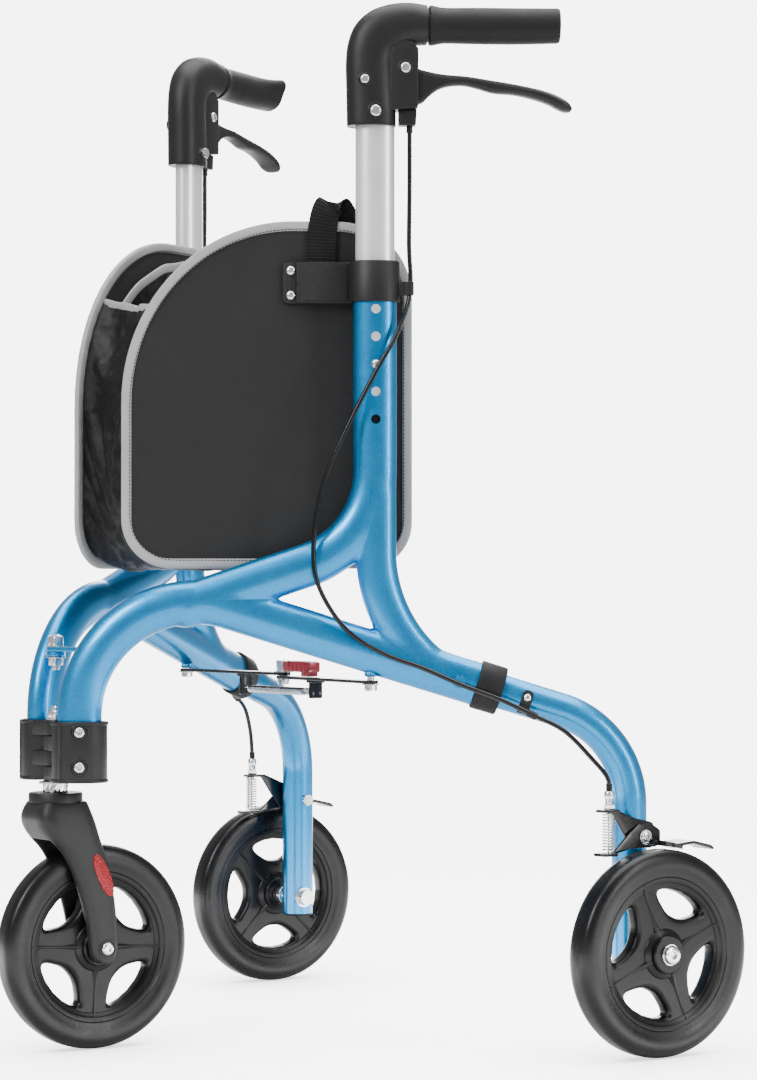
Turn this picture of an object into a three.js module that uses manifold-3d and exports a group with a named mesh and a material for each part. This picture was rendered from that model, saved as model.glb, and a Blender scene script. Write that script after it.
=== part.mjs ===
// Folding three-wheel rollator: two mirrored side frames hinged at the front, telescopic handles,
// cable brakes, a caster fork and a fabric bag. Millimetres, +Z up, front towards -Y, grips towards +Y.
import * as THREE from 'three';
import { mergeVertices } from 'three/addons/utils/BufferGeometryUtils.js';
import Module from 'manifold-3d';

const wasm = await Module();
wasm.setup();
const { Manifold, Mesh } = wasm;

// ---------- driving dimensions ----------
const SHIFT_Y = 201.6; // rear axle line to the centre of the footprint
const SPREAD = THREE.MathUtils.degToRad(30.1); // each side frame's angle from straight ahead
const HEAD = { x: 34.7, y: -436 }; // foot of the side frame's own axes
const HINGE_Y = -441.9; // fold and steering axis

const TUBE_R = 20.3; // the frame's tubes are oval: this is half their height
const TUBE_V = 14.2; // and this half their thickness
const BRACE_R = 18.7;
const BRACE_V = 13.1;
const TUBE_WALL = 1.7;
const LEG_R = 16.25;
const POST_R = 18.2;
const POST_V = 12.1;
const GAP = 0.3;

const ARCH = { foot: [0.5, 252], slope: THREE.MathUtils.degToRad(17.2), radius: 105.5, apex: [106, 309.6] };
const ARCH_END_U = 377;
const LEG_U = 507.9;
const LEG_BEND = 90.5;
const POST_U = 272;
const POST_TOP = 726;
const POST_CORNER_Z = 470.1;
const POST_BEND = 93.3;
const POST_RUN = 0.3336; // fall of the post's lower run towards the front
const HOLE_Z = 634.4;
const HOLE_PITCH = 25.4;
const HOLE_R = 4.3;

const WHEEL_R = 95;
const WHEEL_X = 337;
const FRONT_WHEEL_Y = -403.2;
const RIM_R = 69.7;

const BRAKE = { y: 4, z: 199 };
const GRIP_Z = 949;
const LEVER_PIVOT = [299.5, 908];
const SPREADER = { x: 169, y: -204, centreY: -194 };

const BAG = { front: 39, rear: 307, low: 447, high: 768, v: 19, thick: 3.8, flare: 0.045, hangsAt: 262 };

// ---------- materials ----------
const material = (color, metalness, roughness) => new THREE.MeshStandardMaterial({ color, metalness, roughness });
const PAINT = material(0x1583bd, 0.6, 0.35);
const SILVER = material(0xc9cbcc, 0.9, 0.35);
const ZINC = material(0xb8babd, 0.9, 0.3);
const PLASTIC = material(0x26262a, 0.0, 0.55);
const RUBBER = material(0x2b2b2e, 0.0, 0.75);
const TYRE = material(0x19191b, 0.0, 0.6);
const STEEL = material(0x151517, 0.5, 0.4);
const FABRIC = material(0x3a3b3e, 0.0, 0.9);
const NYLON = material(0x1b1c1f, 0.0, 0.7);
const RED = material(0xa01420, 0.0, 0.4);
const CABLE = material(0x141416, 0.0, 0.4);

// ---------- solids ----------
function solid(geometry) {
  const bare = geometry.clone();
  bare.deleteAttribute('uv');
  bare.deleteAttribute('normal');
  const welded = mergeVertices(bare, 1e-4);
  const faces = Uint32Array.from(welded.index.array);
  const vertices = Float32Array.from(welded.attributes.position.array);
  const made = new Manifold(new Mesh({ numProp: 3, vertProperties: vertices, triVerts: faces }));
  if (made.volume() > 0) return made;
  const flipped = faces.map((_, i) => faces[i - (i % 3) + [0, 2, 1][i % 3]]);
  return new Manifold(new Mesh({ numProp: 3, vertProperties: vertices, triVerts: flipped }));
}
const join = (...parts) => parts.reduce((a, b) => a.add(b));
const cut = (body, ...tools) => tools.reduce((a, b) => a.subtract(b), body);
const mainPiece = (body) => body.decompose().reduce((a, b) => (a.volume() > b.volume() ? a : b));

function box(low, high) {
  const size = high.map((h, i) => h - low[i]);
  const geometry = new THREE.BoxGeometry(...size);
  return solid(geometry.translate(...low.map((l, i) => l + size[i] / 2)));
}

function rod(radius, from, to, sides = 20) {
  const a = new THREE.Vector3(...from);
  const b = new THREE.Vector3(...to);
  const along = b.clone().sub(a);
  const geometry = new THREE.CylinderGeometry(radius, radius, along.length(), sides);
  const turn = new THREE.Quaternion().setFromUnitVectors(new THREE.Vector3(0, 1, 0), along.clone().normalize());
  geometry.applyQuaternion(turn);
  return solid(geometry.translate(...a.add(b).multiplyScalar(0.5).toArray()));
}
const pipe = (outer, inner, from, to, sides = 20) => {
  const a = new THREE.Vector3(...from);
  const b = new THREE.Vector3(...to);
  const past = b.clone().sub(a).normalize();
  return cut(rod(outer, from, to, sides),
    rod(inner, a.sub(past).toArray(), b.add(past).toArray(), sides));
};

// A flat outline in the plane of two axes, thickened along the third.
function plate(outline, low, high, plane = 'xy', holes = []) {
  const shape = new THREE.Shape(outline.map(([x, y]) => new THREE.Vector2(x, y)));
  for (const hole of holes) shape.holes.push(new THREE.Path(hole.map(([x, y]) => new THREE.Vector2(x, y))));
  const geometry = new THREE.ExtrudeGeometry(shape, { depth: high - low, bevelEnabled: false });
  geometry.translate(0, 0, low);
  if (plane === 'xz') geometry.applyMatrix4(new THREE.Matrix4().set(1, 0, 0, 0, 0, 0, -1, 0, 0, 1, 0, 0, 0, 0, 0, 1));
  if (plane === 'yz') geometry.applyMatrix4(new THREE.Matrix4().set(0, 0, 1, 0, 1, 0, 0, 0, 0, 1, 0, 0, 0, 0, 0, 1));
  return solid(geometry);
}
const disc = (x, y, r, n = 16) => Array.from({ length: n }, (_, i) =>
  [x + r * Math.cos((2 * Math.PI * i) / n), y + r * Math.sin((2 * Math.PI * i) / n)]);

// A straight bar with round ends, seen from above.
function bar(from, to, halfWidth, low, high) {
  const heading = Math.atan2(to[1] - from[1], to[0] - from[0]);
  const cap = (centre, start) => Array.from({ length: 7 }, (_, i) => {
    const angle = heading + start + (Math.PI * i) / 6;
    return [centre[0] + halfWidth * Math.cos(angle), centre[1] + halfWidth * Math.sin(angle)];
  });
  return plate([...cap(to, -Math.PI / 2), ...cap(from, Math.PI / 2)], low, high);
}

// Rings of equal count, skinned and closed at both ends.
function loft(rings) {
  const count = rings[0].length;
  const points = rings.flat();
  const faces = [];
  for (let i = 0; i + 1 < rings.length; i++) {
    for (let j = 0; j < count; j++) {
      const a = i * count + j;
      const b = i * count + ((j + 1) % count);
      faces.push(a, b, a + count, b, b + count, a + count);
    }
  }
  for (const [start, order] of [[0, 1], [(rings.length - 1) * count, 0]]) {
    for (let j = 1; j + 1 < count; j++) faces.push(start, start + j + order, start + j + 1 - order);
  }
  const geometry = new THREE.BufferGeometry();
  geometry.setAttribute('position', new THREE.Float32BufferAttribute(points.flat(), 3));
  geometry.setIndex(faces);
  return solid(geometry);
}

// ---------- bent tubes ----------
class Route extends THREE.Curve {
  constructor(points, tangents) {
    super();
    this.points = points;
    this.tangents = tangents;
  }

  pick(list, t) {
    return list[Math.round(t * (list.length - 1))].clone();
  }

  getPoint(t) {
    return this.pick(this.points, t);
  }

  getPointAt(t) {
    return this.pick(this.points, t);
  }

  getTangentAt(t) {
    return this.pick(this.tangents, t);
  }
}

function bentRoute(corners, radius, step = 12) {
  const points = [];
  const tangents = [];
  const last = corners.length - 1;
  const heading = (i) => corners[i + 1].clone().sub(corners[i]).normalize();
  points.push(corners[0].clone());
  tangents.push(heading(0));
  for (let i = 1; i < last; i++) {
    const before = heading(i - 1);
    const after = heading(i);
    const turn = before.angleTo(after);
    const reach = radius * Math.tan(turn / 2);
    const start = corners[i].clone().addScaledVector(before, -reach);
    const side = after.clone().addScaledVector(before, -after.dot(before)).normalize();
    const steps = Math.ceil(THREE.MathUtils.radToDeg(turn) / step);
    for (let k = 0; k <= steps; k++) {
      const angle = (turn * k) / steps;
      points.push(start.clone().addScaledVector(before, radius * Math.sin(angle))
        .addScaledVector(side, radius * (1 - Math.cos(angle))));
      tangents.push(before.clone().multiplyScalar(Math.cos(angle)).addScaledVector(side, Math.sin(angle)));
    }
  }
  points.push(corners[last].clone());
  tangents.push(heading(last - 1));
  return new Route(points, tangents);
}

function sweep(route, radius, sides = 16) {
  const shape = new THREE.Shape();
  shape.setFromPoints(disc(0, 0, radius, sides).map(([x, y]) => new THREE.Vector2(x, y)));
  return solid(new THREE.ExtrudeGeometry(shape, { extrudePath: route, steps: route.points.length - 1 }));
}

function lengthen(route, by) {
  const points = route.points.map((p) => p.clone());
  points[0].addScaledVector(route.tangents[0], -by);
  points[points.length - 1].addScaledVector(route.tangents[route.tangents.length - 1], by);
  return new Route(points, route.tangents);
}
const oval = (body, high, thick) => body.scale([1, thick / high, 1]);
const ovalRod = (high, thick, ...rest) => oval(rod(high, ...rest), high, thick);
const hollow = (route, high, thick, wall) => cut(oval(sweep(route, high), high, thick),
  oval(sweep(lengthen(route, 1), high - wall), high - wall, thick - wall));

// A tube in the frame's plane whose thickness changes along it.
function changingTube(route, radius, thick) {
  return loft(route.points.map((p, i) => {
    const t = route.tangents[i];
    return disc(0, 0, 1).map(([a, b]) => [p.x - t.z * a * radius, b * thick(p), p.z + t.x * a * radius]);
  }));
}

// ---------- side frame axes: u along the frame, v towards the middle, z up ----------
const inFrame = new THREE.Matrix4().set(
  Math.sin(SPREAD), -Math.cos(SPREAD), 0, HEAD.x,
  Math.cos(SPREAD), Math.sin(SPREAD), 0, HEAD.y,
  0, 0, 1, 0,
  0, 0, 0, 1,
);
const toFrame = inFrame.clone().invert();
const uv = (x, y) => {
  const p = new THREE.Vector3(x, y, 0).applyMatrix4(toFrame);
  return [p.x, p.y];
};
const flat = (list) => list.map(([u, z]) => new THREE.Vector3(u, 0, z));

const group = new THREE.Group();
function add(name, body, look) {
  const placed = body.translate([0, SHIFT_Y, 0]);
  const mesh = placed.getMesh();
  const geometry = new THREE.BufferGeometry();
  geometry.setAttribute('position', new THREE.Float32BufferAttribute(mesh.vertProperties, 3));
  geometry.setIndex(Array.from(mesh.triVerts));
  geometry.computeVertexNormals();
  const node = new THREE.Mesh(geometry, look);
  node.name = name;
  group.add(node);
}
function both(name, body, look) {
  add(`left_${name}`, body, look);
  add(`right_${name}`, body.mirror([1, 0, 0]), look);
}
const place = (body) => body.transform(inFrame.elements);

// ---------- frame tubes ----------
const archCorner = [ARCH.foot[0], ARCH.apex[1] + ARCH.radius * Math.tan((Math.PI / 2 + ARCH.slope) / 2)];
const archZ = (u) => archCorner[1] - (u - archCorner[0]) * Math.tan(ARCH.slope);
const archRoute = bentRoute(flat([ARCH.foot, archCorner, [ARCH_END_U, archZ(ARCH_END_U)]]), ARCH.radius);
const archSolid = oval(sweep(lengthen(archRoute, 20), TUBE_R + GAP), TUBE_R + GAP, TUBE_V + GAP);

const postRoute = bentRoute(flat([
  [POST_U, POST_TOP], [POST_U, POST_CORNER_Z], [98, POST_CORNER_Z - (POST_U - 98) * POST_RUN],
]), POST_BEND);
const postSolid = oval(sweep(lengthen(postRoute, 5), TUBE_R + GAP), TUBE_R + GAP, TUBE_V + GAP);

const braceRoute = bentRoute(flat([[273, 540], [273, 406.2], [322.6, 354.6]]), 139, 9);
const legRoute = bentRoute(flat([[348, archZ(348)], [LEG_U, archZ(LEG_U)], [LEG_U, 77]]), LEG_BEND);
for (const [i, u] of [388, 400, 412].entries()) {
  legRoute.points.splice(i + 1, 0, new THREE.Vector3(u, 0, archZ(u)));
  legRoute.tangents.splice(i + 1, 0, legRoute.tangents[0].clone());
}
// The leg is round, and flattened where it enters the oval tube.
const legThick = (less) => (p) => THREE.MathUtils.clamp(12.1 + ((p.x - 388) / 24) * 4.15, 12.1, LEG_R) - less;
const legTube = cut(changingTube(legRoute, LEG_R, legThick(0)),
  changingTube(lengthen(legRoute, 1), LEG_R - TUBE_WALL, legThick(TUBE_WALL)));
const legFoot = new THREE.Vector3(LEG_U, 0, 0).applyMatrix4(inFrame);

const hingeUV = uv(0, HINGE_Y);
const tabEnd = (() => {
  const from = new THREE.Vector2(...hingeUV);
  const way = new THREE.Vector2(19.5, 0).sub(from).normalize();
  return from.addScaledVector(way, 34).toArray();
})();
const stemUV = uv(SPREADER.x, SPREADER.y);

function frontTube(side) {
  const shift = side === 'left' ? 0 : -4.6; // the two hinge tabs lie one on the other
  const tab = cut(bar(hingeUV, tabEnd, 8, 369.6 + shift, 373.8 + shift),
    rod(4.5, [...hingeUV, 360], [...hingeUV, 380]));
  const stem = rod(6, [...stemUV, 347], [...stemUV, 351]);
  const parts = [hollow(archRoute, TUBE_R, TUBE_V, TUBE_WALL), tab, stem];
  if (side === 'left') {
    parts.push(rod(3.4, [...stemUV, 335], [...stemUV, 348]), rod(6.5, [...stemUV, 334], [...stemUV, 339], 6));
  }
  return place(join(...parts));
}
add('left_front_tube', frontTube('left'), PAINT);
add('right_front_tube', frontTube('right').mirror([1, 0, 0]), PAINT);

const holes = [-2, -1, 0, 1, 2].map((k) => {
  const z = HOLE_Z + k * HOLE_PITCH;
  return rod(HOLE_R, [POST_U, -30, z], [POST_U, 0, z], 12);
});
both('post_tube', place(mainPiece(cut(hollow(postRoute, TUBE_R, TUBE_V, TUBE_WALL), archSolid,
  archSolid.translate([0, 0, -12]), ...holes))), PAINT);
both('brace_tube', place(mainPiece(cut(hollow(braceRoute, BRACE_R, BRACE_V, TUBE_WALL), archSolid, postSolid))), PAINT);

const brakeBoltX = legFoot.x;
both('leg_tube', cut(place(legTube),
  rod(6.4, [brakeBoltX - 30, 0, WHEEL_R], [brakeBoltX + 30, 0, WHEEL_R])), PAINT);

const alongLeg = (u) => [u, 0, archZ(u)];
both('tube_sleeve', place(cut(ovalRod(22.6, 17.4, alongLeg(365), alongLeg(389.5), 28),
  ovalRod(TUBE_R + GAP, TUBE_V + GAP, alongLeg(350), alongLeg(ARCH_END_U + GAP), 16),
  ovalRod(LEG_R + GAP, 12.9, alongLeg(350), alongLeg(400), 16))), RUBBER);

// ---------- head block, hinge and steering ----------
function headCasing(bands) {
  const tube = [ARCH.foot[0], 0];
  const out = new THREE.Vector2(tube[0] - hingeUV[0], tube[1] - hingeUV[1]).normalize();
  const from = (along, aside) => [
    hingeUV[0] + along * out.x - aside * out.y, hingeUV[1] + along * out.y + aside * out.x];
  // The rear edge is cut back so that the two halves can close on each other.
  const arm = [[0, -10.5], [17, -17.7], [35.5, -20], [35.5, 20], [17.2, 17.4], [7.2, 8.2], [0, 6]]
    .map(([along, aside]) => from(along, aside));
  const sleeve = ovalRod(25.5, 19.6, [...tube, 250], [...tube, 306], 28);
  const keep = cut(join(sleeve, plate(arm, 250, 306)), rod(11.5, [...hingeUV, 240], [...hingeUV, 320], 24));
  const knuckles = bands.map(([low, high]) =>
    join(rod(11, [...hingeUV, low], [...hingeUV, high], 24), plate(arm, low, high)));
  return place(cut(join(keep, ...knuckles), ovalRod(TUBE_R + GAP, TUBE_V + GAP, [...tube, 240], [...tube, 320], 16),
    rod(6.4, [...hingeUV, 240], [...hingeUV, 320])));
}
add('left_head_casing', headCasing([[250, 263.7], [278.2, 291.7]]), PLASTIC);
add('right_head_casing', headCasing([[264.2, 277.7], [292.2, 306]]).mirror([1, 0, 0]), PLASTIC);

add('steering_pin', join(
  rod(6, [0, HINGE_Y, 233], [0, HINGE_Y, 319]),
  rod(13.5, [0, HINGE_Y, 240], [0, HINGE_Y, 249.5], 6),
  rod(9, [0, HINGE_Y, 306.5], [0, HINGE_Y, 308]),
  rod(8, [0, HINGE_Y, 308], [0, HINGE_Y, 315], 6),
), ZINC);
add('hinge_bolt', join(
  rod(4, [0, HINGE_Y, 356], [0, HINGE_Y, 388], 16),
  rod(8, [0, HINGE_Y, 374.4], [0, HINGE_Y, 382], 6),
  rod(7.5, [0, HINGE_Y, 358], [0, HINGE_Y, 364.4], 6),
), ZINC);

// ---------- collar and bag bracket ----------
both('collar', place(cut(
  join(ovalRod(23.2, 17.2, [POST_U, 0, 692], [POST_U, 0, 730], 28), box([293, -8, 698], [300, 2, 712])),
  ovalRod(TUBE_R + GAP, TUBE_V + GAP, [POST_U, 0, 680], [POST_U, 0, POST_TOP + GAP], 16),
  ovalRod(POST_R + 0.5, POST_V + 0.4, [POST_U, 0, 680], [POST_U, 0, 740], 24),
)), PLASTIC);
both('bag_bracket', place(join(
  box([202, 9, 692], [251.4, 13.4, 730]),
  box([199.6, 9, 692], [203.4, 15.6, 730]),
  box([187, 12.6, 692], [203.4, 15.4, 730]),
)), PLASTIC);

// ---------- telescopic post and handle ----------
const buttonHole = rod(4.6, [POST_U, -30, HOLE_Z], [POST_U, 0, HOLE_Z], 12);
both('inner_post', place(cut(ovalRod(POST_R, POST_V, [POST_U, 0, 597], [POST_U, 0, 898], 24),
  ovalRod(POST_R - 1.9, POST_V - 1.9, [POST_U, 0, 590], [POST_U, 0, 900], 24), buttonHole)), SILVER);
both('height_button', place(rod(3.9, [POST_U, -14.5, HOLE_Z], [POST_U, -17.1, HOLE_Z], 12)), ZINC);

function ring(u, z, radius, tilt, width = radius, sides = 20) {
  const lean = THREE.MathUtils.degToRad(tilt);
  return disc(0, 0, 1, sides).map(([a, b]) =>
    [u - a * radius * Math.cos(lean), b * width, z + a * radius * Math.sin(lean)]);
}
const pivot = (radius, from, to) => rod(radius, [LEVER_PIVOT[0], from, LEVER_PIVOT[1]], [LEVER_PIVOT[0], to, LEVER_PIVOT[1]]);
const elbow = loft([
  ring(269.5, 855, 22.6, 0, 17.4), ring(269, 890, 22.6, 0, 17.4), ring(267.6, 918, 22.3, 3, 17.4),
  ring(272, 937, 23, 28, 17.6), ring(285, 946, 23, 55, 17.8), ring(302, 949.8, 20, 80, 18),
  ring(320, 949, 18.2, 90, 18.2),
]);
const housing = join(box([284, -12.6, 869], [311.5, 12.6, 930]), box([294, -7, 855], [310, 7, 870]));
both('handle_casing', place(join(
  cut(join(elbow, housing), box([292.2, -8.3, 871], [320, 8.3, 925.5]),
    ovalRod(POST_R + 0.4, POST_V + 0.4, [POST_U, 0, 850], [POST_U, 0, 899], 24)),
  pivot(3, -12, 12),
  rod(12, [314, 0, GRIP_Z], [438, 0, GRIP_Z], 16),
)), PLASTIC);

both('grip', place(cut(
  loft([
    ring(322, GRIP_Z, 18.8, 90), ring(329, GRIP_Z, 18.6, 90), ring(337, GRIP_Z, 16.6, 90),
    ring(440, GRIP_Z, 16.4, 90), ring(443, GRIP_Z, 15.6, 90),
  ]),
  rod(12.3, [310, 0, GRIP_Z], [438.4, 0, GRIP_Z], 16),
)), RUBBER);

const LEVER_SHAPE = [
  [293.6, 903], [293.8, 911], [299, 914.5], [306, 912.4], [312, 908.6], [321, 906.2], [334, 903.8],
  [357, 902], [377, 899], [409, 892.6], [434, 886.2], [448, 879.4], [454.5, 873.5], [453.5, 870.4],
  [448, 871.4], [434, 877.6], [417, 883.4], [401, 886], [380, 886.6], [368, 890], [354, 893],
  [342, 892.6], [330.5, 889.2], [322, 883], [314, 876], [306, 875.6], [298, 884], [294, 895],
];
both('brake_lever', place(cut(plate(LEVER_SHAPE, -7.6, 7.6, 'xz'), pivot(3.3, -20, 20))), PLASTIC);

// ---------- brakes ----------
const CABLE_X = 314;
const cableEnd = uv(CABLE_X, -39);
const cableRoute = new THREE.CatmullRomCurve3([
  [304, 0, 854.6], [304, 0, 800], [303.4, 1.5, 745], [304, 5.5, 700], [292, 16, 664], [272, 21.6, 628],
  [246, 22, 577], [223, 20.4, 522], [214.6, 19, 470], [217, 19, 437], [230, 19, 409], [249, 19, 386],
  [281, 19, 367], [314, 19.4, 355], [351, 20.4, 339], [388, 22, 325], [415, 24, 312], [443, 29, 298],
  [467, 36, 274], [cableEnd[0] - 1, -cableEnd[1], 254], [cableEnd[0], -cableEnd[1], 243.6],
].map(([u, outward, z]) => new THREE.Vector3(u, -outward, z)), false, 'centripetal');
const cablePoints = cableRoute.getSpacedPoints(44);
const cableTangents = cablePoints.map((_, i) => cableRoute.getTangentAt(i / 44));
both('brake_cable', place(sweep(new Route(cablePoints, cableTangents), 2.2, 8)), CABLE);

const at = (y, z) => [y, z];
const wheelTop = (y, lift) => WHEEL_R + Math.sqrt((WHEEL_R + lift) ** 2 - y * y);
both('brake_bracket', cut(join(
  plate([at(-9, 190), at(16, 188), at(18, 212), at(-4, 216), at(-28, 226), at(-47, 226), at(-47, 223.4), at(-32, 223.4)],
    306.2, 309, 'yz'),
  box([306.2, -48, 223.4], [322, -29, 226]),
), rod(2.7, [CABLE_X, -39, 215], [CABLE_X, -39, 235], 12)), STEEL);
both('cable_adjuster', join(
  rod(5.4, [CABLE_X, -39, 226.3], [CABLE_X, -39, 231], 6),
  rod(3.8, [CABLE_X, -39, 226.4], [CABLE_X, -39, 243.2], 12),
  rod(2.3, [CABLE_X, -39, 221], [CABLE_X, -39, 227], 12),
), ZINC);
both('brake_spring', pipe(5.8, 4.3, [CABLE_X, -40, 187.4], [CABLE_X, -40, 223], 12), ZINC);

const shoe = [8, 13, 18, 23, 28];
both('brake_arm', cut(join(
  plate([at(-50, 184), at(-34, 184), at(-12, 189), at(16, 189.5), at(22, 192), at(22, 205), at(12, 211), at(-3, 211),
    at(-14, 203), at(-32, 187), at(-50, 187)], 309.6, 312.6, 'yz'),
  box([309.6, -52, 184], [325, -34, 187]),
  plate([at(16, 193.6), at(40, 196), at(62, 190.6), at(63, 188), at(40, 193), at(16, 190.6)], 310, 341, 'yz'),
  plate([...shoe.map((y) => at(y, wheelTop(y, 2.6))), at(28, 193), at(8, 197)], 311, 339, 'yz'),
), rod(4.4, [300, BRAKE.y, BRAKE.z], [320, BRAKE.y, BRAKE.z]), rod(2.7, [CABLE_X, -40, 180], [CABLE_X, -40, 190], 12)),
STEEL);

// ---------- wheels ----------
const turnToX = (geometry) => geometry.rotateZ(-Math.PI / 2);
function tyre() {
  const flatR = WHEEL_R / Math.cos(Math.PI / 48); // a tread facet lies flat on the floor
  const profile = [[70, -12], [78, -14.4], [88, -14.4], [flatR, -8.5], [flatR, 8.5], [88, 14.4], [78, 14.4],
    [70, 12], [70, -12]].map(([r, x]) => new THREE.Vector2(r, x));
  const geometry = new THREE.LatheGeometry(profile, 48);
  geometry.rotateY(Math.PI / 48);
  return solid(turnToX(geometry));
}
function petal(turn) {
  const outline = [];
  const polar = (r, degrees) => {
    const a = turn + THREE.MathUtils.degToRad(degrees);
    outline.push([r * Math.cos(a), r * Math.sin(a)]);
  };
  for (const d of [-27, -18, -9, 0, 9, 18, 27]) polar(59, d);
  for (const [r, d] of [[55, 31], [46, 29], [36, 22], [29, 12], [26.5, 0], [29, -12], [36, -22], [46, -29], [55, -31]]) {
    polar(r, d);
  }
  return outline;
}
function rim(degrees) {
  const turn = THREE.MathUtils.degToRad(degrees);
  const windows = [0.25, 0.75, 1.25, 1.75].map((k) => petal(k * Math.PI + turn));
  const web = plate(disc(0, 0, RIM_R, 48).map(([x, y]) => [x, y]), -9, 9, 'yz', windows);
  return cut(join(web, rod(17.5, [-17, 0, 0], [17, 0, 0], 24)), rod(6.5, [-20, 0, 0], [20, 0, 0]));
}
both('tyre', tyre().translate([WHEEL_X, 0, WHEEL_R]), TYRE);
add('left_rim', rim(22).translate([WHEEL_X, 0, WHEEL_R]), PLASTIC);
add('right_rim', rim(45).translate([-WHEEL_X, 0, WHEEL_R]), PLASTIC);
add('front_tyre', tyre().translate([0, FRONT_WHEEL_Y, WHEEL_R]), TYRE);
add('front_rim', rim(-3).translate([0, FRONT_WHEEL_Y, WHEEL_R]), PLASTIC);

const onAxle = (radius, from, to, sides) => rod(radius, [from, 0, WHEEL_R], [to, 0, WHEEL_R], sides);
both('axle', join(
  onAxle(6, brakeBoltX - 20, 360, 20), onAxle(9.5, brakeBoltX - 25, brakeBoltX - 16.8, 6),
  onAxle(10, brakeBoltX + 16.8, WHEEL_X - 17.5), onAxle(9, WHEEL_X + 17.5, 360, 6),
), ZINC);

// ---------- caster fork ----------
const FORK_LEG = [
  [-464, 230], [-468, 220], [-467, 210], [-460, 198], [-450, 189], [-441, 176], [-431, 152], [-422, 122],
  [-418.4, 95], [-415, 85.5], [-408, 80.6], [-398, 80.6], [-391, 85.5], [-388, 95], [-389, 122], [-393, 152],
  [-401, 181], [-411, 212], [-417, 230],
];
const forkLeg = (from, to) => plate(FORK_LEG, from, to, 'yz');
const crown = [[-464, 232], [-468, 220], [-467, 209], [-463, 202], [-455, 206], [-440, 203], [-417, 203],
  [-411, 213], [-417, 232]];
add('caster_fork', cut(join(
  forkLeg(18.6, 29.4), forkLeg(-29.4, -18.6), plate(crown, -29.4, 29.4, 'yz'),
  rod(25, [0, HINGE_Y, 230], [0, HINGE_Y, 239.5], 28),
), rod(6.4, [0, HINGE_Y, 232.4], [0, HINGE_Y, 245]),
rod(5.3, [-40, FRONT_WHEEL_Y, WHEEL_R], [40, FRONT_WHEEL_Y, WHEEL_R])), PLASTIC);
add('front_axle', join(
  rod(5, [-33, FRONT_WHEEL_Y, WHEEL_R], [33, FRONT_WHEEL_Y, WHEEL_R]),
  rod(8, [29.7, FRONT_WHEEL_Y, WHEEL_R], [34, FRONT_WHEEL_Y, WHEEL_R], 6),
  rod(8, [-34, FRONT_WHEEL_Y, WHEEL_R], [-29.7, FRONT_WHEEL_Y, WHEEL_R], 6),
), ZINC);

// ---------- spreader ----------
const LINK_W = 7;
const HOOK_X = 64;
const leftPin = [SPREADER.x, SPREADER.y];
const rightPin = [-SPREADER.x, SPREADER.y];
const centre = [0, SPREADER.centreY];
const hookY = SPREADER.centreY + ((SPREADER.y - SPREADER.centreY) * HOOK_X) / SPREADER.x;
add('left_spreader_link', join(
  cut(bar(leftPin, centre, LINK_W, 340, 343), rod(3.8, [...leftPin, 335], [...leftPin, 345])),
  rod(4, [...centre, 336], [...centre, 350], 16), rod(6.5, [...centre, 335], [...centre, 340.5], 6),
  rod(8, [...centre, 346.8], [...centre, 358], 16),
  box([HOOK_X - 3, hookY - 7, 323], [HOOK_X + 3, hookY + 7, 341]),
), STEEL);
add('right_spreader_link', join(
  cut(bar(rightPin, centre, LINK_W, 343.3, 346.3), rod(4.4, [...centre, 335], [...centre, 350], 16)),
  rod(6.5, [...rightPin, 338], [...rightPin, 344], 6),
  box([-HOOK_X - 3, hookY - 7, 323], [-HOOK_X + 3, hookY + 7, 344]),
), STEEL);
add('release_tab', join(
  box([10, centre[1] - 8, 347.2], [58, centre[1] + 6, 357.6]),
  box([44, centre[1] - 8, 343.4], [58, centre[1] + 3, 350]),
), RED);
for (const [name, offset] of [['front', -3.6], ['rear', 3.6]]) {
  const y = hookY + offset;
  add(`spreader_spring_${name}`, rod(3.3, [-HOOK_X + 3.4, y, 329], [HOOK_X - 3.4, y, 329], 10), ZINC);
}

// ---------- bag ----------
function panelOutline() {
  const { front, rear, low, high } = BAG;
  const points = [];
  const corner = (u, z, ru, rz, from) => {
    for (let i = 0; i <= 6; i++) {
      const a = from + (Math.PI / 2) * (i / 6);
      points.push([u + ru * Math.cos(a), z + rz * Math.sin(a)]);
    }
  };
  corner(rear - 38, low + 38, 38, 38, -Math.PI / 2);
  corner(rear - 65, high - 65, 65, 65, 0);
  corner(front + 155, high - 165, 155, 165, Math.PI / 2);
  corner(front + 41, low + 41, 41, 41, Math.PI);
  return points;
}
// Each side panel hangs at the post and stands a little outwards at the front.
const flareOf = (u) => BAG.flare * (u - BAG.hangsAt);
const flare = new THREE.Matrix4().set(1, 0, 0, 0, BAG.flare, 1, 0, -BAG.flare * BAG.hangsAt, 0, 0, 1, 0, 0, 0, 0, 1);
both('bag_panel', place(plate(panelOutline(), -BAG.v - BAG.thick, -BAG.v, 'xz').transform(flare.elements)), FABRIC);

const tub = (inset, low, high) => {
  const v = BAG.v + BAG.thick + inset;
  const corners = [[BAG.front + 6 + inset, v], [BAG.rear - 6 - inset, v]]
    .map(([u, w]) => new THREE.Vector3(u, w + flareOf(u), 0).applyMatrix4(inFrame));
  const [front, rear] = corners;
  return plate([[front.x, front.y], [rear.x, rear.y], [-rear.x, rear.y], [-front.x, front.y]], low, high);
};
add('bag_gusset', cut(tub(0.8, BAG.low + 6, 640), tub(3.2, BAG.low + 9, 660)), NYLON);

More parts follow.
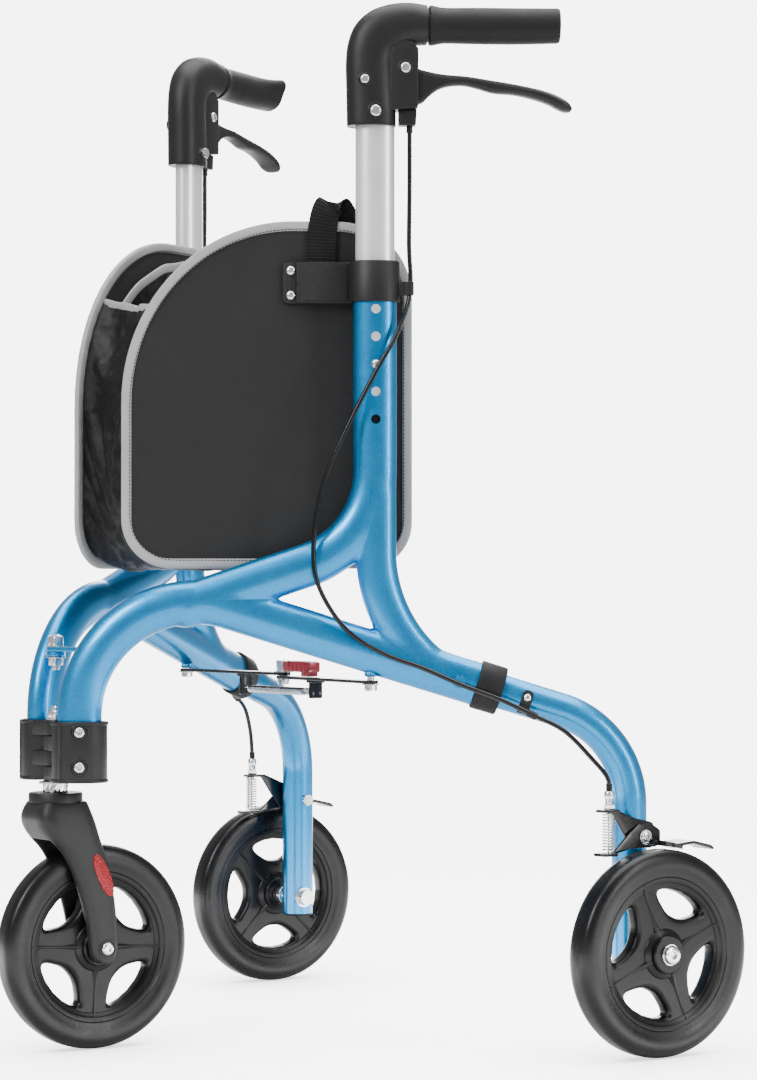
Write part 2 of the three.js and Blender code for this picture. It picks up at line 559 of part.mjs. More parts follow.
const strapPath = [
  [223, 15.1, 694], [223, 15.1, 735], [224.5, 15.3, 764], [227.5, 16.9, 778], [232, 20.4, 785], [238, 24.2, 783],
  [247, 26.8, 768], [258, 27.2, 748], [268, 27, 726],
];
function strap() {
  const curve = new THREE.CatmullRomCurve3(strapPath.map((p) => new THREE.Vector3(...p)), false, 'centripetal');
  const rings = [];
  for (let i = 0; i <= 18; i++) {
    const p = curve.getPointAt(i / 18);
    const t = curve.getTangentAt(i / 18);
    const lean = new THREE.Vector3(1, 0, -0.16);
    const across = lean.addScaledVector(t, -lean.dot(t)).normalize();
    const thick = t.clone().cross(across).normalize();
    rings.push([[-1, -1], [1, -1], [1, 1], [-1, 1]].map(([a, b]) =>
      p.clone().addScaledVector(across, a * 12).addScaledVector(thick, b * 0.9).toArray()));
  }
  return loft(rings);
}
add('bag_strap', place(strap()), NYLON);

export default group;
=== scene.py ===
"""Looks of the folding rollator walker, built around its packed frame."""
import math

import bmesh
import bpy
import numpy as np
from mathutils import Matrix, Vector, noise

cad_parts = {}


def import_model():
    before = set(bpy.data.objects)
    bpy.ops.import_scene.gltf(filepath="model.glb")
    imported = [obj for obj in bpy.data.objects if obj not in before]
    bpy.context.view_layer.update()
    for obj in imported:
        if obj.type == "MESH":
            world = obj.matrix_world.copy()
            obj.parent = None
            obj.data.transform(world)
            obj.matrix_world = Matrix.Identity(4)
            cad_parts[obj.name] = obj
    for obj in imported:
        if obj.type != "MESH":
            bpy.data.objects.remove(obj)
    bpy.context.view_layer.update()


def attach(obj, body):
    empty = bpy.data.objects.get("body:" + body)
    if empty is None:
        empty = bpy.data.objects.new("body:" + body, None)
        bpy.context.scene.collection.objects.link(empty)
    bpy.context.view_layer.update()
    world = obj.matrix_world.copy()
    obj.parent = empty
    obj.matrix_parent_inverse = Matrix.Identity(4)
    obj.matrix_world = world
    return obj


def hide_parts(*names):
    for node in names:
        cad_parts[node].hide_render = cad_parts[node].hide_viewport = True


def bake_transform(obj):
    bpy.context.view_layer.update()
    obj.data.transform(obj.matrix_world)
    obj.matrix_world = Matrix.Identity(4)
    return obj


bl_info = {
    "name": "Rollator walker looks",
    "version": (1, 0, 0),
    "blender": (4, 5, 0),
    "location": "3D View > Sidebar > Walker",
    "description": "Builds the walker's tubes, wheels, brakes, handles and bag around its fixed frame",
    "category": "Object",
}

# ---------- driving dimensions, in millimetres ----------
MM = 0.001
SHIFT_Y = 201.6
SIN, COS = math.sin(math.radians(30.1)), math.cos(math.radians(30.1))
HEAD_X, HEAD_Y = 34.7, -436.0
HINGE_Y = -441.9
TUBE_R, LEG_R, POST_R = 20.3, 16.25, 18.2
TUBE_V, POST_V = 14.2, 12.1  # the tubes are oval: half their thickness across the frame
SLOPE = math.radians(17.2)
ARCH_R, ARCH_FOOT, ARCH_END = 105.5, (0.5, 252.0), 377.0
LEG_U, LEG_BEND = 507.9, 90.5
POST_U, POST_CORNER, POST_BEND, POST_RUN = 272.0, 470.1, 93.3, 0.3336
HOLE_Z, HOLE_PITCH = 634.4, 25.4
WHEEL_R, WHEEL_X, FRONT_Y = 95.0, 337.0, -403.2
GRIP_Z = 949.0
PIVOT = (299.5, 908.0)
CABLE_X = 314.0
SPREAD_X, SPREAD_Y, CENTRE_Y, HOOK_X = 169.0, -204.0, -194.0, 64.0
BAG_FRONT, BAG_REAR, BAG_LOW, BAG_HIGH, BAG_V, BAG_THICK = 39.0, 307.0, 447.0, 768.0, 19.0, 3.8
ARCH_TURN = math.pi / 2 + SLOPE
ARCH_TOP = 309.6 + ARCH_R * math.tan(ARCH_TURN / 2)
SIDES = {"left": 1, "right": -1}
SOCKET, DOME = 0.5, 0.35  # a screw head's socket and dome, as shares of its radius
CORNER_STEPS = 6  # straight pieces in each rounded corner of an outline
TUBE_STEP = 3.0  # spacing of the points along a tube's centre line
CLOTH_THICK = 0.9
GUSSET_COLUMNS = 49
POUCH_ROWS, POUCH_COLUMNS = 22, 60
DRAPE_FRAMES, DRAPE_LIMIT = 26, 12  # how long the cloth settles, and how far any point of it may move
UP, OUTWARDS = (0, 0, 1), (0, -1, 0)  # in a side frame's axes
VIEW_WAY = (-0.83382, 0.55190)  # the way the camera looks, on the ground


def arch_z(u):
    return ARCH_TOP - (u - ARCH_FOOT[0]) * math.tan(SLOPE)


def in_frame(points):
    """Side frame axes (u along it, v inwards, z up) to the row frame, left side."""
    p = np.asarray(points, float).reshape(-1, 3)
    return np.column_stack([
        HEAD_X + SIN * p[:, 0] - COS * p[:, 1], SHIFT_Y + HEAD_Y + COS * p[:, 0] + SIN * p[:, 1], p[:, 2]])


def in_row(points):
    return np.asarray(points, float).reshape(-1, 3) + [0, SHIFT_Y, 0]


def to_frame(x, y):
    dx, dy = x - HEAD_X, y - HEAD_Y
    return dx * SIN + dy * COS, -dx * COS + dy * SIN


HINGE_U, HINGE_V = to_frame(0, HINGE_Y)


def panel_v(u, deep=0.0):
    """Where the bag's side panel stands across the frame: its outer face, or deeper."""
    return BAG_V + deep + 0.045 * (np.asarray(u, float) - 262)


# ---------- shapes: vertices in millimetres, faces, and a slot number for each face ----------
class Shape:
    def __init__(self, verts, faces, slots=None, coords=None):
        self.verts = np.asarray(verts, float).reshape(-1, 3)
        self.faces = [tuple(int(i) for i in f) for f in faces]
        self.slots = list(slots) if slots is not None else [0] * len(self.faces)
        self.coords = None if coords is None else np.asarray(coords, float).reshape(-1, 3)

    def moved(self, change):
        return Shape(change(self.verts), self.faces, self.slots, self.coords)

    def mirrored(self):
        return Shape(self.verts * [-1, 1, 1], [f[::-1] for f in self.faces], self.slots, self.coords)

    def slotted(self, slot):
        return Shape(self.verts, self.faces, [slot] * len(self.faces), self.coords)

    def __add__(self, other):
        shift = len(self.verts)
        faces = self.faces + [tuple(i + shift for i in f) for f in other.faces]
        if self.coords is None and other.coords is None:
            coords = None
        else:
            coords = np.vstack([s.coords if s.coords is not None else s.verts for s in (self, other)])
        return Shape(np.vstack([self.verts, other.verts]), faces, self.slots + other.slots, coords)


def join(*shapes):
    total = shapes[0]
    for shape in shapes[1:]:
        total = total + shape
    return total


def loft(rings, closed=False):
    """A skin over rings of points, capped at both ends or closed into a loop."""
    rings = [np.asarray(r, float) for r in rings]
    n, count = len(rings[0]), len(rings)
    faces = []
    for i in range(count if closed else count - 1):
        a, b = i * n, ((i + 1) % count) * n
        faces += [(a + j, a + (j + 1) % n, b + (j + 1) % n, b + j) for j in range(n)]
    if not closed:
        faces += [tuple(range(n))[::-1], tuple(range((count - 1) * n, count * n))]
    return Shape(np.vstack(rings), faces)


def frames(points, start=None, closed=False):
    """Tangents, normals and side directions along a line, without sudden turns."""
    p = np.asarray(points, float)
    tangents = np.gradient(p, axis=0)
    if closed:
        tangents = np.roll(p, -1, 0) - np.roll(p, 1, 0)
    tangents /= np.linalg.norm(tangents, axis=1)[:, None]
    first = np.array(start if start is not None else UP, float)
    if abs(first @ tangents[0]) > 0.9:
        first = np.array((1.0, 0, 0))
    normals = []
    for t in tangents:
        first = first - (first @ t) * t
        first /= np.linalg.norm(first)
        normals.append(first)
    normals = np.array(normals)
    return tangents, normals, np.cross(tangents, normals)


def circle(sides):
    a = np.linspace(0, 2 * math.pi, sides, endpoint=False)
    return np.column_stack([np.cos(a), np.sin(a)])


def sweep(points, radius, sides=24, section=None, start=None):
    """A section carried along points. radius is one number, one for each point, or a pair for each point."""
    p = np.asarray(points, float)
    shape = circle(sides) if section is None else np.asarray(section, float)
    _, normal, side = frames(p, start)
    size = np.asarray(radius, float)
    if size.ndim < 2:
        size = np.broadcast_to(size, (len(p),))
        size = np.column_stack([size, size])
    rings = [p[i] + np.outer(shape[:, 0] * size[i, 0], normal[i])
             + np.outer(shape[:, 1] * size[i, 1], side[i])
             for i in range(len(p))]
    return loft(rings)


def lathe(profile, base, axis, sides=32, hexagon=()):
    """A profile of (radius, height) turned about an axis. Rings whose number is in hexagon are six-sided."""
    axis = np.array(axis, float) / np.linalg.norm(axis)
    helper = np.array((0, 0, 1.0)) if abs(axis[2]) < 0.9 else np.array((1.0, 0, 0))
    x = np.cross(helper, axis)
    x /= np.linalg.norm(x)
    y = np.cross(axis, x)
    a = np.linspace(0, 2 * math.pi, sides, endpoint=False)
    rings = []
    for k, (r, h) in enumerate(profile):
        r = max(r, 0.01)
        if k in hexagon:
            near = (a % (math.pi / 3)) - math.pi / 6
            radius = r * math.cos(math.pi / 6) / np.cos(near)
        else:
            radius = np.full(sides, r)
        rings.append(np.array(base) + np.outer(radius * np.cos(a), x) + np.outer(radius * np.sin(a), y)
                     + axis * h)
    if tuple(profile[0]) == tuple(profile[-1]):
        return loft(rings[:-1], closed=True)
    return loft(rings)


def oval(profile, u):
    """An upright oval turned piece: (half height along u, half thickness across, z) for each ring."""
    c = circle(64)
    rings = [np.column_stack([u + c[:, 0] * a, c[:, 1] * b, np.full(len(c), z)]) for a, b, z in profile]
    return loft(rings, closed=True)


def flattened(shape, share):
    """The shape, thinner across the frame."""
    return Shape(shape.verts * [1, share, 1], shape.faces, shape.slots, shape.coords)


def rod(a, b, radius, sides=24, bevel=0.0):
    """A round bar between two points."""
    a, b = np.array(a, float), np.array(b, float)
    length = np.linalg.norm(b - a)
    profile = [(radius - bevel, 0), (radius, bevel), (radius, length - bevel), (radius - bevel, length)]
    if not bevel:
        profile = [(radius, 0), (radius, length)]
    return lathe(profile, a, b - a, sides)


def mesh_arrays(mesh):
    """A mesh's vertices and faces."""
    co = np.zeros(len(mesh.vertices) * 3)
    mesh.vertices.foreach_get("co", co)
    return co.reshape(-1, 3), [tuple(p.vertices) for p in mesh.polygons]


def applied(obj):
    """A new mesh with the object's modifiers applied."""
    return bpy.data.meshes.new_from_object(obj.evaluated_get(bpy.context.evaluated_depsgraph_get()))


def added(name, data):
    """A new object for some data, in the scene."""
    obj = bpy.data.objects.new(name, data)
    bpy.context.scene.collection.objects.link(obj)
    return obj


def plate(outline, low, high, bevel=0.6, plane="xy"):
    """A flat outline with rounded edges, between two heights on the third axis."""
    data = bpy.data.curves.new("outline", "CURVE")
    data.dimensions, data.fill_mode = "2D", "BOTH"
    thick = high - low
    bevel = min(bevel, thick / 2 - 0.01)
    data.extrude, data.bevel_depth = thick / 2 - bevel, bevel
    data.bevel_resolution, data.offset = 2, -bevel
    spline = data.splines.new("POLY")
    spline.points.add(len(outline) - 1)
    for point, (x, y) in zip(spline.points, outline):
        point.co = (x, y, 0, 1)
    spline.use_cyclic_u = True
    temp = added("outline", data)
    mesh = applied(temp)
    bm = bmesh.new()
    bm.from_mesh(mesh)
    bmesh.ops.remove_doubles(bm, verts=bm.verts, dist=0.002)
    bmesh.ops.recalc_face_normals(bm, faces=bm.faces)
    bm.to_mesh(mesh)
    bm.free()
    verts, faces = mesh_arrays(mesh)
    bpy.data.objects.remove(temp)
    bpy.data.curves.remove(data)
    bpy.data.meshes.remove(mesh)
    verts = verts + [0, 0, (low + high) / 2]
    if plane == "xz":
        return Shape(verts[:, [0, 2, 1]], [f[::-1] for f in faces])
    if plane == "yz":
        return Shape(verts[:, [2, 0, 1]], faces)
    return Shape(verts, faces)


def round_loop(points, radii):
    """A closed outline with its corners rounded."""
    points = [np.array(p, float) for p in points]
    radii = radii if isinstance(radii, (list, tuple)) else [radii] * len(points)
    out = []
    for i, (p, r) in enumerate(zip(points, radii)):
        a, b = points[i - 1] - p, points[(i + 1) % len(points)] - p
        la, lb = np.linalg.norm(a), np.linalg.norm(b)
        half = math.acos(max(-1, min(1, (a @ b) / la / lb))) / 2
        reach = min(r / math.tan(half), la * 0.48, lb * 0.48) if r else 0
        if reach < 0.05:
            out.append(tuple(p))
            continue
        s, e = p + a / la * reach, p + b / lb * reach
        for k in range(CORNER_STEPS + 1):
            t = k / CORNER_STEPS
            out.append(tuple((1 - t) ** 2 * s + 2 * t * (1 - t) * p + t * t * e))
    return out


def smooth_line(points, count):
    """A smooth curve through points, evenly spaced."""
    p = np.asarray(points, float)
    ext = np.vstack([2 * p[0] - p[1], p, 2 * p[-1] - p[-2]])
    out = []
    for i in range(len(p) - 1):
        a, b, c, d = ext[i:i + 4]
        t0 = 0.0
        t1 = t0 + max(np.linalg.norm(b - a), 1e-6) ** 0.5
        t2 = t1 + max(np.linalg.norm(c - b), 1e-6) ** 0.5
        t3 = t2 + max(np.linalg.norm(d - c), 1e-6) ** 0.5
        for t in np.linspace(t1, t2, 16, endpoint=False):
            a1 = (t1 - t) / (t1 - t0) * a + (t - t0) / (t1 - t0) * b
            a2 = (t2 - t) / (t2 - t1) * b + (t - t1) / (t2 - t1) * c
            a3 = (t3 - t) / (t3 - t2) * c + (t - t2) / (t3 - t2) * d
            b1 = (t2 - t) / (t2 - t0) * a1 + (t - t0) / (t2 - t0) * a2
            b2 = (t3 - t) / (t3 - t1) * a2 + (t - t1) / (t3 - t1) * a3
            out.append((t2 - t) / (t2 - t1) * b1 + (t - t1) / (t2 - t1) * b2)
    return even(np.vstack([out, p[-1:]]), count)


def lengths(points):
    """How far along a line each of its points is."""
    return np.concatenate([[0], np.cumsum(np.linalg.norm(np.diff(points, axis=0), axis=1))])


def even(points, count):
    """The same line through evenly spaced points."""
    p = np.asarray(points, float)
    s = lengths(p)
    want = np.linspace(0, s[-1], count)
    return np.column_stack([np.interp(want, s, p[:, k]) for k in range(p.shape[1])])


def bent(corners, radius):
    """Centre line of a bent tube in the side frame's plane."""
    pts = [np.array((u, 0.0, z)) for u, z in corners]
    line = [pts[0]]
    for i in range(1, len(pts) - 1):
        before = pts[i] - pts[i - 1]
        after = pts[i + 1] - pts[i]
        before, after = before / np.linalg.norm(before), after / np.linalg.norm(after)
        turn = math.acos(before @ after)
        start = pts[i] - before * radius * math.tan(turn / 2)
        side = after - before * (after @ before)
        side /= np.linalg.norm(side)
        for k in range(49):
            a = turn * k / 48
            line.append(start + before * radius * math.sin(a) + side * radius * (1 - math.cos(a)))
    line.append(pts[-1])
    line = np.array(line)
    length = np.linalg.norm(np.diff(line, axis=0), axis=1).sum()
    return even(line, max(8, int(length / TUBE_STEP)))


# ---------- objects ----------
MATS = {}


def build(name, shape, mats, body, replaces=(), angle=38):
    """An object from a shape, riding its body and standing for the frame's nodes it replaces."""
    mesh = bpy.data.meshes.new(name)
    mesh.from_pydata((shape.verts * MM).tolist(), [], shape.faces)
    for m in (mats if isinstance(mats, (list, tuple)) else [mats]):
        mesh.materials.append(MATS[m])
    mesh.polygons.foreach_set("material_index", shape.slots)
    if shape.coords is not None:
        mesh.attributes.new("cloth", "FLOAT_VECTOR", "POINT").data.foreach_set(
            "vector", (shape.coords * MM).astype(np.float32).ravel())
    mesh.validate()
    mesh.shade_smooth()
    mesh.set_sharp_from_angle(angle=math.radians(angle))
    obj = added(name, mesh)
    if body:
        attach(obj, body)
    if replaces:
        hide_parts(*replaces)
    return obj


def on_side(shape, sign):
    """The left side's shape, mirrored for the right side."""
    return shape if sign > 0 else shape.mirrored()


def pair(name, shape, mats, body, nodes=(), angle=38):
    """The same piece on the left and, mirrored, on the right."""
    made = []
    for side, sign in SIDES.items():
        made.append(build(f"{side}_{name}", on_side(shape, sign), mats,
                          f"{side}_{body}", [f"{side}_{n}" for n in nodes], angle))
    return made


def cut_holes(obj, cutter_shape, cutter_mats):
    """Cuts a shape out of an object for good; the walls take the cutter's materials."""
    cutter = build("cutter", cutter_shape, cutter_mats, None)
    mod = obj.modifiers.new("holes", "BOOLEAN")
    mod.object, mod.operation, mod.solver, mod.material_mode = cutter, "DIFFERENCE", "EXACT", "TRANSFER"
    mesh = applied(obj)
    obj.modifiers.remove(mod)
    obj.data = mesh
    bpy.data.objects.remove(cutter)
    mesh.shade_smooth()
    mesh.set_sharp_from_angle(angle=math.radians(35))


def screw(at, axis, radius):
    """A domed screw head with a six-sided socket."""
    r, s = radius, radius * SOCKET
    profile = [(r, 0), (r, 0.12 * r), (0.93 * r, 0.3 * r), (0.75 * r, (DOME + 0.1) * r),
               (s * 1.2, (DOME + 0.16) * r),
               (s, (DOME + 0.14) * r), (s * 0.96, 0.12 * r), (0.01, 0.1 * r)]
    return lathe(profile, at, axis, 36, hexagon=(5, 6))


def nut(at, axis, radius, height):
    """A six-sided nut with chamfered ends."""
    profile = [(radius * 0.9, 0), (radius, height * 0.12), (radius, height * 0.85), (radius * 0.88, height),
               (radius * 0.5, height)]
    return lathe(profile, at, axis, 36, hexagon=(1, 2))


def recess(at, axis, radius):
    """A raised lip round a countersunk screw."""
    profile = [(radius * 1.25, -0.4), (radius * 1.22, 0.5), (radius * 1.08, 0.8), (radius * 0.98, 0.4),
               (radius * 0.96, -0.4)]
    return lathe(profile, at, axis, 40)


def spring(a, b, radius, wire, turns, per_turn=14):
    """A coil of wire between two points."""
    a, b = np.array(a, float), np.array(b, float)
    count = int(turns * per_turn)
    t = np.linspace(0, 1, count)
    line = a + np.outer(t, b - a)
    _, n, s = frames(np.vstack([a, b]))
    ang = t * turns * 2 * math.pi
    line = line + radius * (np.outer(np.cos(ang), n[0]) + np.outer(np.sin(ang), s[0]))
    return sweep(line, wire, 7)


# ---------- materials ----------
class Graph:
    """A material's node tree, and short ways to add nodes to it."""

    def __init__(self, name):
        self.mat = bpy.data.materials.new(name)
        self.mat.use_nodes = True
        self.tree = self.mat.node_tree
        self.shader = self.tree.nodes["Principled BSDF"]
        MATS[name] = self.mat

    def add(self, kind, settings=None, **inputs):
        node = self.tree.nodes.new(kind)
        for key, value in (settings or {}).items():
            setattr(node, key, value)
        for key, value in inputs.items():
            self.set(node, key.replace("_", " "), value)
        return node

    def set(self, node, key, value):
        socket = node.inputs[int(key)] if key.isdigit() else node.inputs[key]
        if isinstance(value, bpy.types.NodeSocket):
            self.tree.links.new(value, socket)
        else:
            socket.default_value = value

    def coords(self, attribute=None):
        if attribute:
            return self.add("ShaderNodeAttribute", {"attribute_name": attribute}).outputs["Vector"]
        return self.add("ShaderNodeTexCoord").outputs["Object"]

    def noise(self, vector, scale, detail=4.0, rough=0.55):
        return self.add("ShaderNodeTexNoise", Vector=vector, Scale=scale, Detail=detail,
                        Roughness=rough).outputs[0]

    def ramp(self, value, low, high, a=0.0, b=1.0):
        return self.add("ShaderNodeMapRange", None, Value=value, From_Min=low, From_Max=high,
                        To_Min=a, To_Max=b).outputs[0]

    def mix(self, share, a, b):
        node = self.add("ShaderNodeMix", {"data_type": "RGBA"})
        self.set(node, "0", share)
        self.set(node, "6", a)
        self.set(node, "7", b)
        return node.outputs[2]

    def math(self, op, a, b=0.0):
        node = self.add("ShaderNodeMath", {"operation": op})
        self.set(node, "0", a)
        self.set(node, "1", b)
        return node.outputs[0]

    def bump(self, height, strength, distance=0.001, normal=None):
        node = self.add("ShaderNodeBump", Height=height, Strength=strength, Distance=distance)
        if normal is not None:
            self.set(node, "Normal", normal)
        return node.outputs[0]


def rgb(c, k=1.0):
    return (c[0] * k, c[1] * k, c[2] * k, 1.0)


def moulded(name, base, rough=0.5, metallic=0.0, vary=0.12, grain=900.0, grain_bump=0.15,
            scuff=0.12, coat=0.0, spec=0.5, wear=0.25):
    """Painted, moulded or plated surface: colour drift, fine grain, smudges and worn patches."""
    g = Graph(name)
    xyz = g.coords()
    drift = g.ramp(g.noise(xyz, 9.0, 3.0), 0.3, 0.7)
    fine = g.noise(xyz, grain, 2.0)
    smudge = g.noise(xyz, 38.0, 6.0, 0.65)
    colour = g.mix(drift, rgb(base, 1 - vary), rgb(base, 1 + vary))
    worn = g.ramp(smudge, 0.62, 0.8, 0.0, wear)
    colour = g.mix(worn, colour, rgb([min(1, c * 1.5 + 0.02) for c in base]))
    g.set(g.shader, "Base Color", colour)
    g.set(g.shader, "Roughness", g.ramp(smudge, 0.25, 0.75, max(0.03, rough - scuff), min(1, rough + scuff)))
    g.set(g.shader, "Normal", g.bump(fine, grain_bump, 0.0004))
    g.set(g.shader, "Metallic", metallic)
    g.set(g.shader, "Specular IOR Level", spec)
    g.set(g.shader, "Coat Weight", coat)
    g.set(g.shader, "Coat Roughness", 0.08)
    return g


def flake_paint(name, base):
    """Metallic paint: fine bright flakes under a clear coat."""
    g = Graph(name)
    xyz = g.coords()
    cells = g.add("ShaderNodeTexVoronoi", Vector=xyz, Scale=1500.0)
    spark = g.add("ShaderNodeSeparateColor", Color=cells.outputs["Color"]).outputs[0]
    drift = g.ramp(g.noise(xyz, 6.0, 2.0), 0.3, 0.7)
    colour = g.mix(drift, rgb(base, 0.92), rgb(base, 1.08))
    colour = g.mix(g.ramp(spark, 0.55, 1.0, 0.0, 0.5), colour, rgb([min(1, c * 1.6) for c in base]))
    g.set(g.shader, "Base Color", colour)
    g.set(g.shader, "Metallic", 0.85)
    g.set(g.shader, "Roughness", g.ramp(g.noise(xyz, 60.0, 5.0), 0.3, 0.7, 0.3, 0.37))
    flake = g.bump(spark, 0.16, 0.0002)
    g.set(g.shader, "Normal", g.bump(g.noise(xyz, 240.0, 2.0), 0.04, 0.0003, flake))
    g.set(g.shader, "Coat Weight", 0.55)
    g.set(g.shader, "Coat Roughness", 0.06)
    return g


def woven(name, base, period=0.9, rough=0.85, sheen=0.25, depth=0.5, ribs=None, gloss=0.0,
          crumple=(9.0, 0.25)):
    """Cloth. The weave follows the piece's own cloth coordinates, in metres."""
    g = Graph(name)
    cloth = g.add("ShaderNodeSeparateXYZ", Vector=g.coords("cloth"))
    a = g.math("SINE", g.math("MULTIPLY", cloth.outputs[0], 2000 * math.pi / period))
    b = g.math("SINE", g.math("MULTIPLY", cloth.outputs[1], 2000 * math.pi / (ribs or period)))
    thread = g.math("MULTIPLY", a, b) if ribs is None else b
    height = g.math("ADD", g.math("MULTIPLY", thread, 0.5), g.noise(g.coords(), 1400.0, 2.0))
    drift = g.ramp(g.noise(g.coords(), 14.0, 4.0), 0.25, 0.75)
    colour = g.mix(drift, rgb(base, 0.86), rgb(base, 1.14))
    colour = g.mix(g.ramp(thread, -1.0, 1.0, 0.0, 0.35), colour, rgb(base, 0.5))
    g.set(g.shader, "Base Color", colour)
    g.set(g.shader, "Roughness", g.ramp(drift, 0, 1, rough - 0.06 - gloss, rough + 0.05 - gloss))
    g.set(g.shader, "Sheen Weight", sheen)
    g.set(g.shader, "Specular IOR Level", 0.2)
    creased = g.bump(g.noise(g.coords(), crumple[0], 3.0, 0.5), crumple[1], 0.02)
    g.set(g.shader, "Normal", g.bump(height, depth, 0.0004, creased))
    return g


def make_materials(s):
    flake_paint("blue_paint", s.paint[:3])
    moulded("silver_post", (0.88, 0.885, 0.89), 0.34, 0.6, 0.02, 1600.0, 0.05, 0.03, wear=0.0)
    moulded("zinc", (0.78, 0.79, 0.80), 0.24, 1.0, 0.06, 700.0, 0.12, 0.1, wear=0.15)
    moulded("steel_wire", (0.70, 0.71, 0.72), 0.28, 1.0, 0.08, 500.0, 0.1, 0.1)
    moulded("black_plastic", s.plastic[:3], 0.44, 0.0, 0.12, 1100.0, 0.32, 0.07, wear=0.06, spec=0.3)
    moulded("plastic_dark", (0.004, 0.004, 0.0045), 0.5, 0.0, 0.12, 1100.0, 0.2, 0.07, wear=0.03, spec=0.2)
    moulded("grip_rubber", (0.008, 0.008, 0.009), 0.55, 0.0, 0.1, 650.0, 0.5, 0.06, wear=0.05, spec=0.25)
    moulded("tyre", (0.003, 0.003, 0.0035), 0.3, 0.0, 0.15, 500.0, 0.22, 0.07, wear=0.03, spec=0.28)
    moulded("rim_plastic", (0.003, 0.003, 0.0035), 0.32, 0.0, 0.1, 900.0, 0.16, 0.06, wear=0.03, spec=0.25)
    moulded("black_steel", (0.003, 0.003, 0.0035), 0.28, 0.0, 0.1, 400.0, 0.12, 0.1, coat=0.3, wear=0.08,
            spec=0.3)
    moulded("cable_sheath", (0.003, 0.003, 0.0035), 0.25, 0.0, 0.08, 300.0, 0.05, 0.06, coat=0.2, spec=0.3)
    moulded("red_plastic", (0.30, 0.004, 0.014), 0.3, 0.0, 0.2, 500.0, 0.2, 0.08, coat=0.3)
    # Painted shade: the dark walls and bottom of the lowest height hole stand for the shaded empty tube,
    # where no inner post stands behind it.
    moulded("hole_painted_shade", (0.004, 0.005, 0.007), 0.6, spec=0.1)
    reflector()
    woven("bag_fabric", (0.021, 0.021, 0.0215), 1.1, 0.82, 0.04, 0.6)
    woven("bag_nylon", (0.004, 0.004, 0.0045), 0.5, 0.5, 0.03, 0.25, gloss=0.12, crumple=(22.0, 0.5))
    woven("bag_binding", (0.40, 0.40, 0.405), 1.0, 0.85, 0.05, 0.6)
    woven("webbing", (0.0035, 0.0035, 0.004), 1.6, 0.7, 0.03, 0.9, ribs=3.0)
    woven("thread", (0.06, 0.06, 0.062), 1.0, 0.8, 0.05)
    textured_plate()


def reflector():
    g = moulded("reflector_red", (0.62, 0.02, 0.02), 0.25, 0.0, 0.1, coat=0.15, spec=0.3)
    p = g.add("ShaderNodeSeparateXYZ", Vector=g.coords())
    a = g.math("SINE", g.math("MULTIPLY", g.math("ADD", p.outputs[1], p.outputs[2]), 1500.0))
    b = g.math("SINE", g.math("MULTIPLY", g.math("SUBTRACT", p.outputs[1], p.outputs[2]), 1500.0))
    cells = g.math("MAXIMUM", a, b)
    g.set(g.shader, "Normal", g.bump(cells, 0.35, 0.0008))
    g.set(g.shader, "Base Color", g.mix(g.ramp(cells, 0.6, 1.0), rgb((0.34, 0.0, 0.004)),
                                        rgb((0.10, 0.0, 0.002))))


def textured_plate():
    g = moulded("leather_grain", (0.012, 0.012, 0.013), 0.5, 0.0, 0.1, wear=0.05, spec=0.3)
    cells = g.add("ShaderNodeTexVoronoi", {"feature": "SMOOTH_F1"}, Vector=g.coords(), Scale=900.0)
    g.set(g.shader, "Normal", g.bump(cells.outputs["Distance"], 0.5, 0.001))


# ---------- welded frame ----------
ARCH_LINE = bent([ARCH_FOOT, (ARCH_FOOT[0], ARCH_TOP), (ARCH_END, arch_z(ARCH_END))], ARCH_R)
POST_LINE = bent([(POST_U, 727), (POST_U, POST_CORNER), (97, POST_CORNER - (POST_U - 97) * POST_RUN)],
                 POST_BEND)
BRACE_LINE = bent([(273, 540), (273, 406.2), (322.6, 354.6)], 139)
LEG_LINE = bent([(350, arch_z(350)), (LEG_U, arch_z(LEG_U)), (LEG_U, 77)], LEG_BEND)


def tube_distance(points, line, radius):
    fine = even(line, len(line) * 5)
    best = np.full(len(points), 1e9)
    away = np.zeros_like(points)
    for start in range(0, len(fine), 60):
        diff = points[:, None, :] - fine[None, start:start + 60, :]
        length = np.linalg.norm(diff, axis=2)
        pick = length.argmin(axis=1)
        rows = np.arange(len(points))
        closer = length[rows, pick] < best
        best[closer] = length[rows, pick][closer]
        away[closer] = diff[rows, pick][closer]
    return best - radius, away / np.maximum(best, 1e-6)[:, None]


def blend_share(pair_name, p, most):
    """The weld's fillet fades where two tubes run inside each other."""
    if pair_name == "brace_post":
        t = np.clip((532 - p[:, 2]) / 60, 0, 1)
    elif pair_name == "arch_post":
        t = np.clip((p[:, 0] - 100) / 45, 0, 1)
    else:
        t = np.ones(len(p))
    return np.maximum(most * t * t * (3 - 2 * t), 0.01)


def welded(own, others, fillet):
    """Moves a tube's surface onto the smooth union of all the tubes, so the welds flow together."""
    line, radius = own
    shape = sweep(line, radius, 56, start=(0, 1, 0))
    p = shape.verts.copy()
    first = [tube_distance(p, l, r)[0] for _, l, r in others]
    busy = np.zeros(len(p), bool)
    for d in first:
        busy |= (d < fillet * 1.3) & (d > -fillet * 0.9)
    q = p[busy]
    for _ in range(5):
        d, n = tube_distance(q, line, radius)
        for name, l, r in others:
            d2, n2 = tube_distance(q, l, r)
            k = blend_share(name, q, fillet)
            h = np.clip(0.5 + 0.5 * (d2 - d) / k, 0, 1)
            n = n2 * (1 - h)[:, None] + n * h[:, None]
            d = d2 * (1 - h) + d * h - k * h * (1 - h)
        n /= np.maximum(np.linalg.norm(n, axis=1), 0.3)[:, None]
        q = q - n * d[:, None]
    mine = tube_distance(q, line, radius)[0]
    theirs = np.min([tube_distance(q, l, r)[0] for _, l, r in others], axis=0)
    sink = np.clip((mine - theirs) * 0.35, 0, 0.5)
    p[busy] = q - n * sink[:, None]
    shape.verts = p
    return shape


